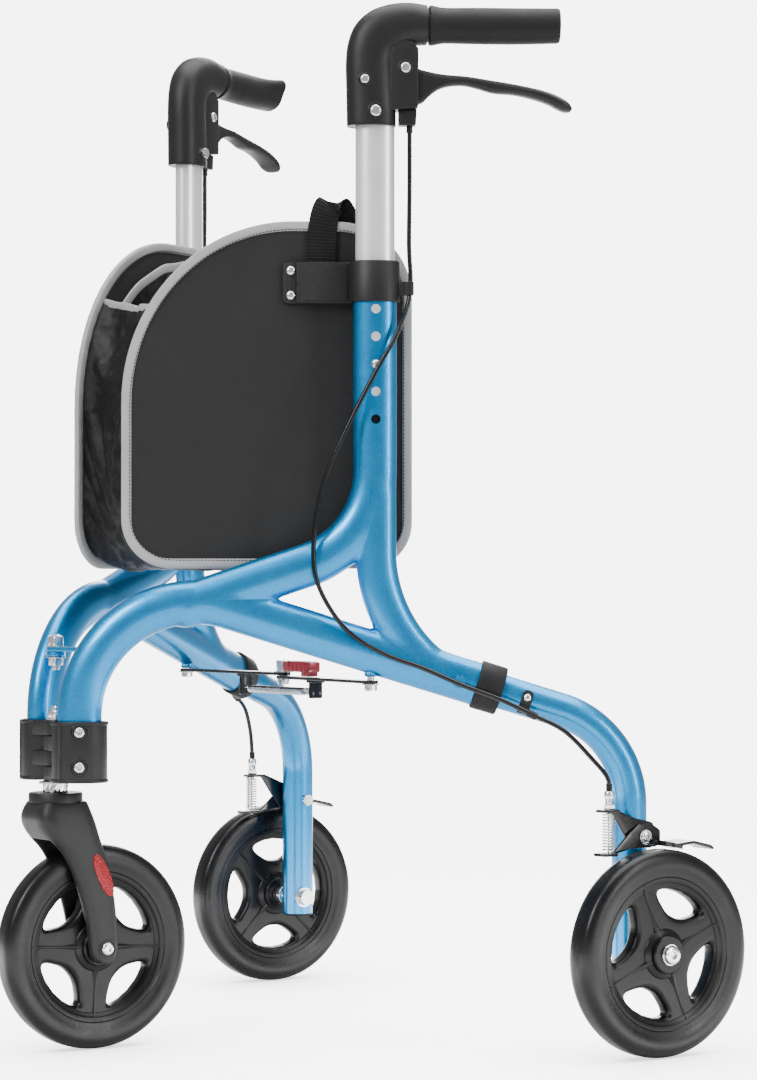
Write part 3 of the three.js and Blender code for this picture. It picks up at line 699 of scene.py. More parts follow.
def frame_tubes(s):
    k, share = s.weld_fillet, TUBE_V / TUBE_R
    arch = welded((ARCH_LINE, TUBE_R), [("arch_post", POST_LINE, TUBE_R), ("arch_brace", BRACE_LINE, 18.9)],
                  k)
    post = welded((POST_LINE, TUBE_R), [("arch_post", ARCH_LINE, TUBE_R), ("brace_post", BRACE_LINE, 18.9)],
                  k)
    brace = welded((BRACE_LINE, 18.9), [("arch_brace", ARCH_LINE, TUBE_R),
                                        ("brace_post", POST_LINE, TUBE_R)], k)
    arch, post, brace = (flattened(part, share).moved(in_frame) for part in (arch, post, brace))
    pair("frame_arch", arch, "blue_paint", "frame")
    pair("frame_brace", brace, "blue_paint", "frame", ["brace_tube"])
    posts = pair("frame_post", post, ["blue_paint", "silver_post", "hole_painted_shade"], "frame", ["post_tube"])
    holes = []
    for i, z in enumerate(HOLE_Z + HOLE_PITCH * np.arange(-2, 3)):
        hole = rod((POST_U, -30, z), (POST_U, -12.2, z), 4.3, 28)
        # The upper holes show the silver inner post. The lowest hole's pocket takes painted shade for the
        # dark, empty tube behind it.
        holes.append(hole.slotted(1 if i > 0 else 2))
    for obj, sign in zip(posts, (1, -1)):
        shape = join(*holes).moved(in_frame)
        cut_holes(obj, on_side(shape, sign), ["blue_paint", "silver_post", "hole_painted_shade"])
    across = np.clip(POST_V + (LEG_LINE[:, 0] - 388) / 24 * (LEG_R - POST_V), POST_V, LEG_R)
    leg = sweep(LEG_LINE, np.column_stack([across, np.full(len(LEG_LINE), LEG_R)]), 48,
                start=(0, 1, 0)).moved(in_frame)
    pair("frame_leg", leg, "blue_paint", "frame", ["leg_tube"])
    plug = lathe([(LEG_R - 1.5, 0), (LEG_R - 0.6, 0.8), (LEG_R - 0.6, 2.6)], (LEG_U, 0, 74.8), UP, 40)
    pair("leg_plug", plug.moved(in_frame), "plastic_dark", "frame")


def head_hinge(s):
    for side, sign in SIDES.items():
        lift = 0 if side == "left" else -4.6
        way = np.array((19.5 - HINGE_U, -HINGE_V))
        way /= np.linalg.norm(way)
        angle = math.atan2(way[1], way[0])
        tip = (HINGE_U + way[0] * 36, HINGE_V + way[1] * 36)
        outline = [(HINGE_U + 8.6 * math.cos(angle + a), HINGE_V + 8.6 * math.sin(angle + a))
                   for a in np.linspace(math.pi / 2, 3 * math.pi / 2, 15)]
        outline += [(tip[0] + 10 * math.cos(angle + a), tip[1] + 10 * math.sin(angle + a))
                    for a in (-1.4, 1.4)]
        tab = plate(outline, 369.6 + lift, 373.8 + lift, 0.8).moved(in_frame)
        u, v = to_frame(SPREAD_X, SPREAD_Y)
        stem = lathe([(5, 0), (6, 1), (6, 5), (7, 7)], (u, v, 346.6), UP, 28).moved(in_frame)
        shape = tab + stem
        build(f"{side}_hinge_tab", on_side(shape, sign), "blue_paint", f"{side}_frame",
              [f"{side}_front_tube"])
    axis = (0, HINGE_Y, 0)
    bolt = join(
        lathe([(7.2, 374.2), (8.2, 374.8), (8.2, 381), (7, 383.5), (4, 385), (0.1, 385.4)], axis, UP, 36,
              hexagon=(1, 2)),
        lathe([(9.5, 373.9), (9.5, 374.5)], axis, UP, 36),
        lathe([(9, 363.6), (9, 364.6)], axis, UP, 36),
        lathe([(6.6, 356.8), (7.6, 357.6), (7.6, 363), (6.8, 363.8)], axis, UP, 36, hexagon=(1, 2)),
        lathe([(3, 352.5), (3.8, 353.5), (3.8, 357), (6, 357)], axis, UP, 24),
    ).moved(in_row)
    build("hinge_bolt_set", bolt, "zinc", "left_frame", ["hinge_bolt"])
    pin = join(
        lathe([(12.4, 240.2), (13.4, 241), (13.4, 248.6), (12.4, 249.4)], axis, UP, 36, hexagon=(1, 2)),
        lathe([(15.5, 247.6), (15.5, 249.4)], axis, UP, 40),
        lathe([(9.4, 306.4), (9.4, 308)], axis, UP, 36),
        lathe([(7, 308), (8.2, 308.8), (8.2, 314), (7, 315)], axis, UP, 36, hexagon=(1, 2)),
        lathe([(5, 314), (5, 318), (4, 319.2)], axis, UP, 28),
    ).moved(in_row)
    build("steering_nuts", pin, "zinc", "left_frame", ["steering_pin"])
    face = np.array((0.03, -1.0, 0))
    bands = {"left": [(250, 263.7), (278.2, 291.7)], "right": [(264.2, 277.7), (292.2, 306)]}
    tube = np.array((ARCH_FOOT[0], 0.0))
    hinge = np.array((HINGE_U, HINGE_V))
    out = (tube - hinge) / np.linalg.norm(tube - hinge)
    across = np.array((-out[1], out[0]))
    far = np.linalg.norm(tube - hinge)

    def arm(points):
        return [tuple(hinge + a * out + b * across) for a, b in points]

    def around(high, thick):
        return [(tube[0] + high * math.cos(a), thick * math.sin(a))
                for a in np.linspace(0, 2 * math.pi, 72, endpoint=False)]

    ring = around(25.5, 19.6)
    body = arm([(9.4, -7.2), (17, -17.7), (far, -24), (far + 6, 0), (far, 20), (17.2, 17.4), (8.6, 9.0),
                (11.6, 0)])
    reach = arm([(0, -10.8), (17, -17.7), (far, -20), (far, 20), (17.2, 17.4), (7.2, 8.2), (0, 6)])
    disc = [tuple(hinge + 11 * np.array((math.cos(a), math.sin(a))))
            for a in np.linspace(0, 2 * math.pi, 32, endpoint=False)]
    for side, sign in SIDES.items():
        parts = [plate(ring, 250, 306, 1.4), plate(body, 250.2, 305.8, 0.8)]
        for z in (250.0, 302.4):
            parts.append(plate(around(26.5, 20.6), z, z + 3.6, 1.3))
        for low, high in bands[side]:
            parts += [plate(disc, low, high, 0.6), plate(reach, low, high, 0.6)]
        parts += [recess((0.9, -19.4, z), face, 5.8) for z in (296.5, 264.5)]
        parts += [lathe([(8.8, -0.8), (8.7, 0.3), (7.9, 0.7), (7.6, 0.3), (7.4, -0.8), (8.8, -0.8)],
                        (0.9, -19.4, z), face, 48)
                  for z in (296.5, 264.5)]
        shape = join(*parts).moved(in_frame)
        build(f"{side}_head_block", on_side(shape, sign), "black_plastic", f"{side}_frame",
              [f"{side}_head_casing"])
    heads = [screw((0.9, -19.3, z), face, 5.0) for z in (296.5, 264.5)]
    pair("head_screws", join(*heads).moved(in_frame), "zinc", "frame")


def collars(s):
    ring = oval([(22.4, 16.4, 692), (23.2, 17.2, 692.8), (23.2, 17.2, 728.6), (22.2, 16.2, 730),
                 (POST_R + 0.6, POST_V + 0.6, 730), (POST_R + 0.4, POST_V + 0.4, 692)], POST_U)
    clip = plate(round_loop([(293, -8), (299.8, -8), (299.8, 1), (293, 1)], 1.5), 698, 711, 0.6)
    hook = sweep(smooth_line([(299, -7.6, 704.5), (305, -8.6, 704.5), (307, -5.4, 704.5), (305, -2.2, 704.5),
                              (299, -1.5, 704.5)], 20), 1.0,
                 section=[(-6, -0.7), (6, -0.7), (6, 0.7), (-6, 0.7)])
    pair("post_collar", join(ring, clip, hook).moved(in_frame), "black_plastic", "frame", ["collar"])
    face = plate(round_loop([(203, 692), (253, 692), (253, 730), (203, 730)], 1.2), 9, 13.4, 0.8, plane="xz")
    wing = plate(round_loop([(187, 692), (203.2, 692), (203.2, 730), (187, 730)], [5, 1, 1, 5]), 12.7, 15.4,
                 0.7, plane="xz")
    step = plate(round_loop([(199.8, 9.4), (203.6, 9.4), (203.6, 15.3), (199.8, 15.3)], 0.8), 692.2, 729.8,
                 0.6)
    groove = plate(round_loop([(206.5, 694.5), (247, 694.5), (247, 727.5), (206.5, 727.5)], 1.0), 8.3, 9.4,
                   0.3, plane="xz")
    pair("bag_mount", join(face, wing, step, groove).moved(in_frame), "leather_grain", "frame",
         ["bag_bracket"])
    rivets = [lathe([(4.4, 0), (4.3, 0.7), (3.4, 1.7), (1.8, 2.2), (0.1, 2.3)], (194.5, 12.8, z), OUTWARDS,
                    28)
              for z in (699.5, 722.5)]
    pair("bag_rivets", join(*rivets).moved(in_frame), "zinc", "frame")
    sleeve_at = np.array((ARCH_END, 0, arch_z(ARCH_END)))
    way = np.array((math.cos(SLOPE), 0, -math.sin(SLOPE)))
    sleeve = lathe([(20.8, -12.4), (22.3, -11.8), (22.8, -10.5), (22.6, 0), (22.6, 10.6), (22, 12.2),
                    (17, 12.6)],
                   sleeve_at, way, 56)
    pair("leg_sleeve", flattened(sleeve, 0.77).moved(in_frame), "grip_rubber", "frame", ["tube_sleeve"])
    bolt = join(lathe([(6.4, 0.2), (6.4, 1.2)], (349, -13.6, arch_z(349) - 2), OUTWARDS, 30),
                nut((349, -14.4, arch_z(349) - 2), OUTWARDS, 5.6, 4.2))
    pair("leg_bolt", bolt.moved(in_frame), "blue_paint", "frame")
    up, along = np.array((math.sin(SLOPE), 0, math.cos(SLOPE))), np.array((math.cos(SLOPE), 0,
                                                                           -math.sin(SLOPE)))
    at = np.array((411, 0, arch_z(411)))

    def on_leg(a, lift):
        return at + (LEG_R + lift) * (np.array(OUTWARDS) * math.cos(a) + up * math.sin(a))

    rings = []
    for a in np.radians(np.concatenate([np.linspace(-52, 18, 16), np.linspace(20, 30, 8)])):
        wide = 5.2 * math.sqrt(max(0.03, 1 - max(0, (math.degrees(a) - 15) / 15.2) ** 2))
        rings.append([on_leg(a, lift) + along * wide * c for c,
                      lift in ((-1, 0.2), (-0.96, 1.4), (0.96, 1.4), (1, 0.2))])
    tab = loft(rings)
    cable_at, way = np.array((415, -24, 312.0)), np.array((0.87, -0.08, -0.46))
    over = np.cross(way, (0, 1, 0))
    ring = [cable_at + 2.8 * (np.array((0, 1, 0)) * math.cos(a) + over * math.sin(a))
            for a in np.linspace(0, 2 * math.pi, 24, endpoint=False)]
    loop = loft([[p + way * c * 4.5 + (p - cable_at) / 2.8 * d for p in ring] for c,
                 d in ((-1, -0.4), (-1, 0.8), (1, 0.8), (1, -0.4))],
                closed=True)
    pair("clip_rivet", lathe([(3.4, 0), (3.3, 0.8), (2.4, 1.5), (0.8, 1.8), (0.1, 1.8)], on_leg(0.1, 1.2),
                             (0, -1, 0.1), 28)
         .moved(in_frame), "zinc", "frame")
    pair("cable_clip", join(tab, loop).moved(in_frame), "black_plastic", "frame")


# ---------- handles ----------
def section(u, z, radius, tilt, width, sides=40, power=2.0):
    lean = math.radians(tilt)
    c = circle(sides)
    a = np.sign(c[:, 0]) * np.abs(c[:, 0]) ** (2 / power)
    b = np.sign(c[:, 1]) * np.abs(c[:, 1]) ** (2 / power)
    return np.column_stack([u - a * radius * math.cos(lean), b * width, z + a * radius * math.sin(lean)])


def refine(rings, count):
    """More rings between the given ones, on smooth curves."""
    stack = np.array(rings)
    flat = stack.reshape(len(rings), -1)
    out = smooth_many(flat, count)
    return [r.reshape(-1, 3) for r in out]


def smooth_many(values, count):
    n = len(values)
    ext = np.vstack([2 * values[0] - values[1], values, 2 * values[-1] - values[-2]])
    out = []
    for t in np.linspace(0, n - 1, count):
        i = min(int(t), n - 2)
        f = t - i
        a, b, c, d = ext[i:i + 4]
        out.append(0.5 * ((2 * b) + (c - a) * f + (2 * a - 5 * b + 4 * c - d) * f * f
                          + (3 * b - a - 3 * c + d) * f ** 3))
    return out


LEVER_TOP = [(296, 914), (306, 912.4), (312, 908.6), (321, 906.2), (334, 903.8), (357, 902), (377, 899),
             (409, 893.6), (434, 887.6), (446.4, 882), (452.8, 877.4), (455, 873)]
LEVER_LOW = [(294, 884), (303, 877), (314, 876), (322, 883), (330.5, 889.2), (342, 892.6), (354, 893),
             (368, 890), (380, 886.6),
             (401, 884.8), (417, 881.4), (433, 876), (441, 871.8), (448, 869.2), (453.4, 869.6)]


def handles(s):
    post = sweep([(POST_U, 0, z) for z in (597, 598, 640, 700, 760, 820, 880, 898)],
                 [(POST_V, POST_R)] * 8, 64, start=(0, 1, 0))
    pair("telescopic_post", post.moved(in_frame), "silver_post", "handle", ["inner_post"])
    pair("button_dome", lathe([(3.9, 0), (3.8, 1.2), (3.0, 2.1), (1.6, 2.6), (0.1, 2.7)],
                              (POST_U, -14.5, HOLE_Z),
                              OUTWARDS, 28).moved(in_frame), "zinc", "button", ["height_button"])
    rings = [section(268.6, 855, 21.9, 0, 16.8, 48, 2.3), section(268.6, 856.2, 22.7, 0, 17.4, 48, 2.3),
             section(268.3, 872, 22.7, 0, 17.4, 48, 2.3), section(267.6, 892, 22.4, 0, 17.3, 48, 2.3),
             section(267.0, 912, 22.2, 2, 17.2, 48, 2.3), section(268.6, 926, 22.6, 14, 17.2, 48, 2.3),
             section(273.5, 937, 23.2, 32, 17.4, 48, 2.3), section(282.5, 944.4, 22.8, 52, 17.6, 48, 2.2),
             section(293.5, 948.4, 21.4, 69, 17.8, 48, 2.1), section(306, 950.0, 20.2, 82, 18, 48, 2.1),
             section(318.8, 949.4, 18.6, 90, 18.4, 48, 2.0), section(320, 949.3, 17.8, 90, 17.8, 48, 2.0)]
    shell = loft(refine(rings, 44))
    house = [(285, 869), (311.2, 871.5), (311.6, 926), (306, 932), (286, 928)]
    cheeks = []
    for low, high in ((-12.8, -8.4), (8.4, 12.8)):
        cheeks.append(plate(round_loop(house, [1, 2, 3, 4, 6]), low, high, 1.2, plane="xz"))
    top = plate(round_loop([(286, 924.5), (311.4, 924.5), (306, 933), (287, 936)], 1.5), -12.6, 12.6, 1.0,
                plane="xz")
    rear = plate(round_loop([(284, 869), (292, 869.4), (292, 930), (284, 930)], 1), -12.6, 12.6, 0.8,
                 plane="xz")
    boss = plate(round_loop([(293.6, 855.4), (309.6, 855.4), (310.4, 870.6), (293.6, 870.6)], 1.6), -7.2,
                 7.2, 1.4, plane="xz")
    floor = plate(round_loop([(288, 869.2), (311, 871.2), (311, 873.6), (288, 873.4)], 0.6), -12.4, 12.4,
                  0.5, plane="xz")
    core = rod((318, 0, GRIP_Z), (324, 0, GRIP_Z), 15.5, 40)
    marks = [recess((261.6, -16.6, 896.6), OUTWARDS, 5.0), recess((271.7, -17.3, 867.4), OUTWARDS, 6.4),
             recess((PIVOT[0], -12.5, PIVOT[1]), OUTWARDS, 5.9)]
    marks += [lathe([(3.0, 0), (2.8, 0.35), (0.1, 0.4)], (300.4, -12.6, z), OUTWARDS, 24)
              for z in (921, 879.5)]
    pair("handle_shell", join(shell, *cheeks, top, rear, boss, floor, core, *marks).moved(in_frame),
         "black_plastic",
         "handle", ["handle_casing"])
    heads = [screw((261.6, -16.6, 896.6), OUTWARDS, 4.4), screw((271.7, -17.2, 867.4), OUTWARDS, 5.6),
             screw((PIVOT[0], -12.4, PIVOT[1]), OUTWARDS, 5.2),
             screw((PIVOT[0], 12.4, PIVOT[1]), (0, 1, 0), 5.2),
             nut((271.7, 17.2, 867.4), (0, 1, 0), 5.6, 3.6)]
    pair("handle_screws", join(*heads).moved(in_frame), "zinc", "handle")
    grips(s)
    levers(s)


def grips(s):
    rings = []
    for u in np.concatenate([np.linspace(321.6, 340, 14), np.linspace(343, 436, 30),
                             np.linspace(438, 443.4, 7)]):
        start = math.exp(-((u - 321.6) / 9.0) ** 2)
        edge = max(0.0, 1 - abs(u - 321.6) / 1.6)
        end = max(0.0, (u - 440.6) / 2.8)
        r = 16.4 + 2.5 * start - 1.6 * edge - 1.2 * end * end
        t = np.linspace(0, 2 * math.pi, 64, endpoint=False)
        wing = max(0.0, (u - 395) / 48) ** 1.5
        palm = 1 + 0.035 * np.cos(2 * t) * math.sin(math.pi * min(1, max(0, (u - 335) / 100)))
        rr = r * palm * (1 + wing * (0.5 * np.exp(-((t - 0.95) / 0.42) ** 2) + 0.05 * np.cos(t)))
        rings.append(np.column_stack([np.full(64, u), rr * np.sin(t), GRIP_Z + rr * np.cos(t)]))
    body = loft(rings)
    t = np.linspace(0, 1, 14)
    crease = np.column_stack([426 + 14 * t, -14.6 + 9.5 * t, GRIP_Z + 6.4 + 9.2 * np.sin(t * 1.5)])
    crease = sweep(crease, np.interp(t, [0, 0.5, 1], [0.25, 0.9, 0.25]), 8)
    pair("hand_grip", join(body, crease).moved(in_frame), "grip_rubber", "handle", ["grip"])


def levers(s):
    top, low = smooth_line([(u, 0, z) for u, z in LEVER_TOP],
                           60), smooth_line([(u, 0, z) for u, z in LEVER_LOW], 60)
    rings = []
    c = circle(28)
    for i in range(60):
        mid, half = (top[i] + low[i]) / 2, (top[i] - low[i]) / 2
        t = i / 59
        width = np.interp(t, [0, 0.12, 0.2, 0.5, 0.78, 0.93, 0.975, 1],
                          [7.4, 7.4, 7.0, 8.0, 10.6, 11.4, 9.4, 5.6])
        power = np.interp(t, [0, 0.15, 0.3, 1], [5, 4, 2.6, 2.3])
        a = np.sign(c[:, 0]) * np.abs(c[:, 0]) ** (2 / power)
        b = np.sign(c[:, 1]) * np.abs(c[:, 1]) ** (2 / power)
        rings.append(mid + np.outer(a, half) + np.outer(b * width, (0, 1, 0)))
    pair("lever_blade", loft(rings).moved(in_frame), "black_plastic", "lever", ["brake_lever"])


# ---------- brakes and cables ----------
CABLE_U, CABLE_V = to_frame(CABLE_X, -39)
CABLE_ROUTE = [(304, 0, 856), (304, 0, 800), (303.4, 1.5, 745), (304, 5.5, 700), (292, 16, 664),
               (272, 21.6, 628),
               (246, 22, 577), (223, 20.4, 522), (214.6, 19, 470), (217, 19, 437), (230, 19, 409),
               (249, 19, 386),
               (281, 19, 367), (314, 19.4, 355), (351, 20.4, 339), (388, 22, 325), (415, 24, 312),
               (443, 29, 298),
               (467, 36, 274), (CABLE_U - 1, -CABLE_V, 254), (CABLE_U, -CABLE_V, 243)]


def cables(s):
    line = smooth_line([(u, -out, z) for u, out, z in CABLE_ROUTE], 260)
    shape = sweep(line, 2.2, 16)
    ends = join(rod((304, 0, 849), (304, 0, 855.6), 3.0, 24, 0.4),
                rod((CABLE_U, CABLE_V, 243), (CABLE_U, CABLE_V, 250), 2.9, 24, 0.4))
    shape = join(shape, ends).moved(in_frame)
    for side, sign in SIDES.items():
        obj = build(f"{side}_cable_run", on_side(shape, sign), "cable_sheath", None)
        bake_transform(obj)
        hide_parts(f"{side}_brake_cable")


def brakes(s):
    x = CABLE_X
    web = plate(round_loop([(-9, 190), (16, 188), (18, 212), (-4, 216), (-28, 226), (-47, 226),
                            (-47, 223.4), (-32, 223.4)],
                           [3, 5, 7, 5, 2, 1, 1, 4]), 306.2, 309, 0.5, plane="yz")
    top = plate(round_loop([(306.4, -49), (322, -46), (322, -31), (306.4, -28.6)], [1, 4, 4, 1]), 223.4,
                226, 0.6)
    pair("brake_stop", join(web, top).moved(in_row), "black_steel", "frame", ["brake_bracket"])
    barrel = lathe([(5.2, 226.2), (5.6, 226.8), (5.6, 230.4), (5.0, 231), (3.4, 231), (3.4, 236),
                    (4.4, 236.6),
                    (4.6, 238), (4.6, 241.8), (3.8, 243)], (x, -39, 0), UP, 36, hexagon=(0, 1, 2, 3))
    threads = spring((x, -39, 231.5), (x, -39, 236.5), 3.4, 0.45, 6)
    stem = rod((x, -39, 221), (x, -39, 227), 2.2, 20)
    pair("adjuster_barrel", join(barrel, threads, stem).moved(in_row), "zinc", "frame", ["cable_adjuster"])
    wire = rod((x, -39.5, 183), (x, -39.5, 224), 0.8, 12)
    pair("brake_wire", wire.moved(in_row), "steel_wire", "frame")
    coil = spring((x, -40, 188), (x, -40, 222.4), 5.2, 0.75, 13)
    pair("brake_coil", coil.moved(in_row), "steel_wire", "frame", ["brake_spring"])
    side = plate(round_loop([(-50, 184.1), (-34, 184.1), (-12, 189), (16, 189.5), (22, 192), (22, 205),
                             (12, 211), (-3, 211),
                             (-14, 203), (-32, 187), (-50, 187)], [1, 2, 6, 3, 2, 4, 5, 5, 6, 3, 1]), 309.7,
                 312.5, 0.5,
                 plane="yz")
    toe = plate(round_loop([(309.8, -54), (325, -52), (325, -36), (309.8, -33)], [1, 4, 4, 1]), 184, 186.8,
                0.6)
    pedal = plate(round_loop([(16, 193.6), (40, 196), (60, 191.4), (63.6, 188.4), (62.6, 186.6),
                              (59, 188.4), (40, 193.2),
                              (16, 190.8)], [1, 8, 4, 1, 1, 3, 8, 1]), 311, 340, 0.6, plane="yz")
    shoe_y = np.linspace(8, 28, 9)
    under = [(y, WHEEL_R + math.sqrt((WHEEL_R + 2.7) ** 2 - y * y)) for y in shoe_y]
    shoe = plate(under + [(28, 193), (8, 197)], 311.5, 338.5, 0.7, plane="yz")
    pair("brake_rocker", join(side, toe, pedal, shoe).moved(in_row), "black_steel", "brake", ["brake_arm"])
    bolt = join(lathe([(6.8, 0), (6.8, 1.1)], (312.8, 4, 199), (1, 0, 0), 32),
                screw((313.9, 4, 199), (1, 0, 0), 5.4),
                rod((305, 4, 199), (313, 4, 199), 3.6), nut((268.6, 4, 199), (1, 0, 0), 6.4,
                                                            5.2)).moved(in_row)
    pair("brake_pivot_bolt", bolt, "zinc", "frame")


# ---------- wheels ----------
def tyre_shape():
    """A solid tyre: its outline turned about the wheel's axle."""
    outline = [(69.4, -11.2), (70.5, -12.6), (74, -13.2), (79, -14.3), (85, -14.6), (90.4, -13.2),
               (93.6, -10.2), (94.8, -6),
               (95, 0)]
    profile = outline + [(r, -x) for r, x in outline[-2::-1]]
    profile = [tuple(p) for p in smooth_line([(r, 0, h) for r, h in profile], 40)[:, [0, 2]]]
    profile += [(69.4, 11.0), (69.4, -11.0)]
    return lathe(profile[::-1] + [profile[-1]], (0, 0, 0), (1, 0, 0), 128)


MID_WINDOW = [(58.6, 0), (58.6, 12), (58.5, 21), (58.0, 25.6), (56.6, 28.2), (54, 28.6), (49.5, 26.6),
              (44.5, 23), (39.5, 17.6),
              (36.6, 11), (35.6, 5), (35.4, 0)]
FACE_WINDOW = [(62.0, 0), (62.0, 14), (61.9, 24.4), (61.4, 29.4), (59.6, 33), (56.4, 34.4), (50.5, 33),
               (44, 29.4), (37.4, 24),
               (32.4, 16.4), (30.0, 8), (29.4, 0)]


def seen_from(centre, loop, angles):
    """How far a closed outline lies from a point inside it, at each angle."""
    loop = np.array(loop) - centre
    around, far = np.arctan2(loop[:, 1], loop[:, 0]), np.hypot(loop[:, 0], loop[:, 1])
    order = np.argsort(around)
    around, far = around[order], far[order]
    return np.interp(angles, np.concatenate([around - 2 * math.pi, around, around + 2 * math.pi]),
                     np.tile(far, 3))


def window_frame():
    """A quarter of the web: the material round one window, its rim rolled over to both faces."""
    centre, angles = np.array((47.0, 0)), np.linspace(-math.pi, math.pi, 144, endpoint=False)

    def outline(points):
        half = np.array(points)
        polar = np.vstack([half, (half * [1, -1])[-2:0:-1]])
        loop = np.column_stack([polar[:, 0] * np.cos(np.radians(polar[:, 1])),
                                polar[:, 0] * np.sin(np.radians(polar[:, 1]))])
        far = seen_from(centre, even(np.vstack([loop, loop[:1]]), 600), angles)
        for _ in range(5):
            far = (np.roll(far, 1) + 2 * far + np.roll(far, -1)) / 4
        return far
    arc = np.radians(np.linspace(-45, 45, 60))
    edge = [(66 * math.cos(a), 66 * math.sin(a)) for a in arc] + [(13 * math.cos(a), 13 * math.sin(a))
                                                                  for a in arc[::-1]]
    edge = seen_from(centre, even(np.array(edge + edge[:1]), 1200), angles)
    mid, face = outline(MID_WINDOW), outline(FACE_WINDOW)

    def ring(far, x):
        return np.column_stack([np.full(len(angles), x), centre[0] + far * np.cos(angles),
                                far * np.sin(angles)])
    turns = np.linspace(0, math.pi / 2, 9)
    side = [ring(mid + (face - mid) * (1 - math.cos(a)), 1.4 + 7.0 * math.sin(a)) for a in turns]
    side += [ring(face + (edge - face) * t, 8.4) for t in (0.3, 1.0)]
    return loft([r * [-1, 1, 1] for r in side[::-1]] + side, closed=True)


def rim_shape():
    """Four quarters of web, the band the tyre sits on, the hub and the ribs of the spokes."""
    quarter = window_frame()
    web = []
    for k in range(4):
        spin = np.array(Matrix.Rotation(math.pi / 4 + k * math.pi / 2, 3, "X"))
        web.append(quarter.moved(lambda v, spin=spin: v @ spin.T))
    half = [(60.6, 7.0), (61.2, 8.9), (62.4, 9.6), (64.4, 9.9), (65.0, 10.3), (65.5, 11.4), (66.6, 11.9),
            (69.6, 12.1)]
    band = lathe([(r, -x) for r, x in half] + [(r, x) for r, x in half[::-1]] + [(half[0][0], -half[0][1])],
                 (0, 0, 0), (1, 0, 0), 128)
    hub = lathe([(8.5, -17), (16.2, -17), (17.4, -15.8), (17.8, -12), (19.4, -10.8), (21.4, -10.4),
                 (22.4, -9.6), (23.2, -8.2),
                 (23.2, 8.2), (22.4, 9.6), (21.4, 10.4), (19.4, 10.8), (17.8, 12), (17.4, 15.8), (16.2, 17),
                 (8.5, 17),
                 (8.5, -17)], (0, 0, 0), (1, 0, 0), 72)
    ribs = []
    for k in range(4):
        a = k * math.pi / 2
        way, side = np.array((0, math.cos(a), math.sin(a))), np.array((0, -math.sin(a), math.cos(a)))
        rings = []
        for r, half_width, tall in ((17, 1.5, 13.2), (21, 1.4, 11.4), (32, 1.25, 9.6), (50, 1.15, 9.3),
                                    (60, 1.1, 9.6),
                                    (64.6, 1.1, 11), (68.6, 1.0, 12.5)):
            rings.append([way * r + side * half_width * c + np.array((1.0, 0, 0)) * tall * h
                          for c, h in ((-1.9, -0.86), (-1, -0.9), (-0.5, -1), (0.5, -1), (1, -0.9),
                                       (1.9, -0.86),
                                       (1.9, 0.86), (1, 0.9), (0.5, 1), (-0.5, 1), (-1, 0.9), (-1.9, 0.86))])
        ribs.append(loft(rings))
    return join(*web, band, hub, *ribs)


def wheels(s):
    tyre, rim = tyre_shape(), rim_shape()
    for name, x, y, turn, body in (("left", WHEEL_X, 0, 22, "left_wheel"),
                                   ("right", -WHEEL_X, 0, 45, "right_wheel"),
                                   ("front", 0, FRONT_Y, -3, "front_wheel")):
        spin = np.array(Matrix.Rotation(math.radians(turn), 3, "X"))

        def put(v, x=x, y=y, spin=spin):
            return in_row(v @ spin.T + [x, y, WHEEL_R])
        build(f"{name}_tyre_round", tyre.moved(put), "tyre", body, [f"{name}_tyre"])
        build(f"{name}_rim_spoked", rim.moved(put), "rim_plastic", body, [f"{name}_rim"])
    axle = join(rod((271, 0, 95), (356, 0, 95), 5.6), nut((263.8, 0, 95), (1, 0, 0), 8.6, 6.2),
                lathe([(10.5, 0), (10.5, 1.4)], (270.4, 0, 95), (1, 0, 0), 36),
                lathe([(9.6, 306.2), (10.2, 307), (10.2, 318.6), (9.6, 319.4)], (0, 0, 95), (1, 0, 0), 36),
                lathe([(9.6, 354.2), (9.6, 355.4)], (0, 0, 95), (1, 0, 0), 40),
                lathe([(8.6, 355.3), (8.6, 357.5), (7.6, 359.2), (4.6, 360), (4, 359.9), (3.8, 357.4),
                       (0.1, 357.2)],
                      (0, 0, 95), (1, 0, 0), 36, hexagon=(4, 5))).moved(in_row)
    pair("axle_bolt", axle, "zinc", "frame", ["axle"])


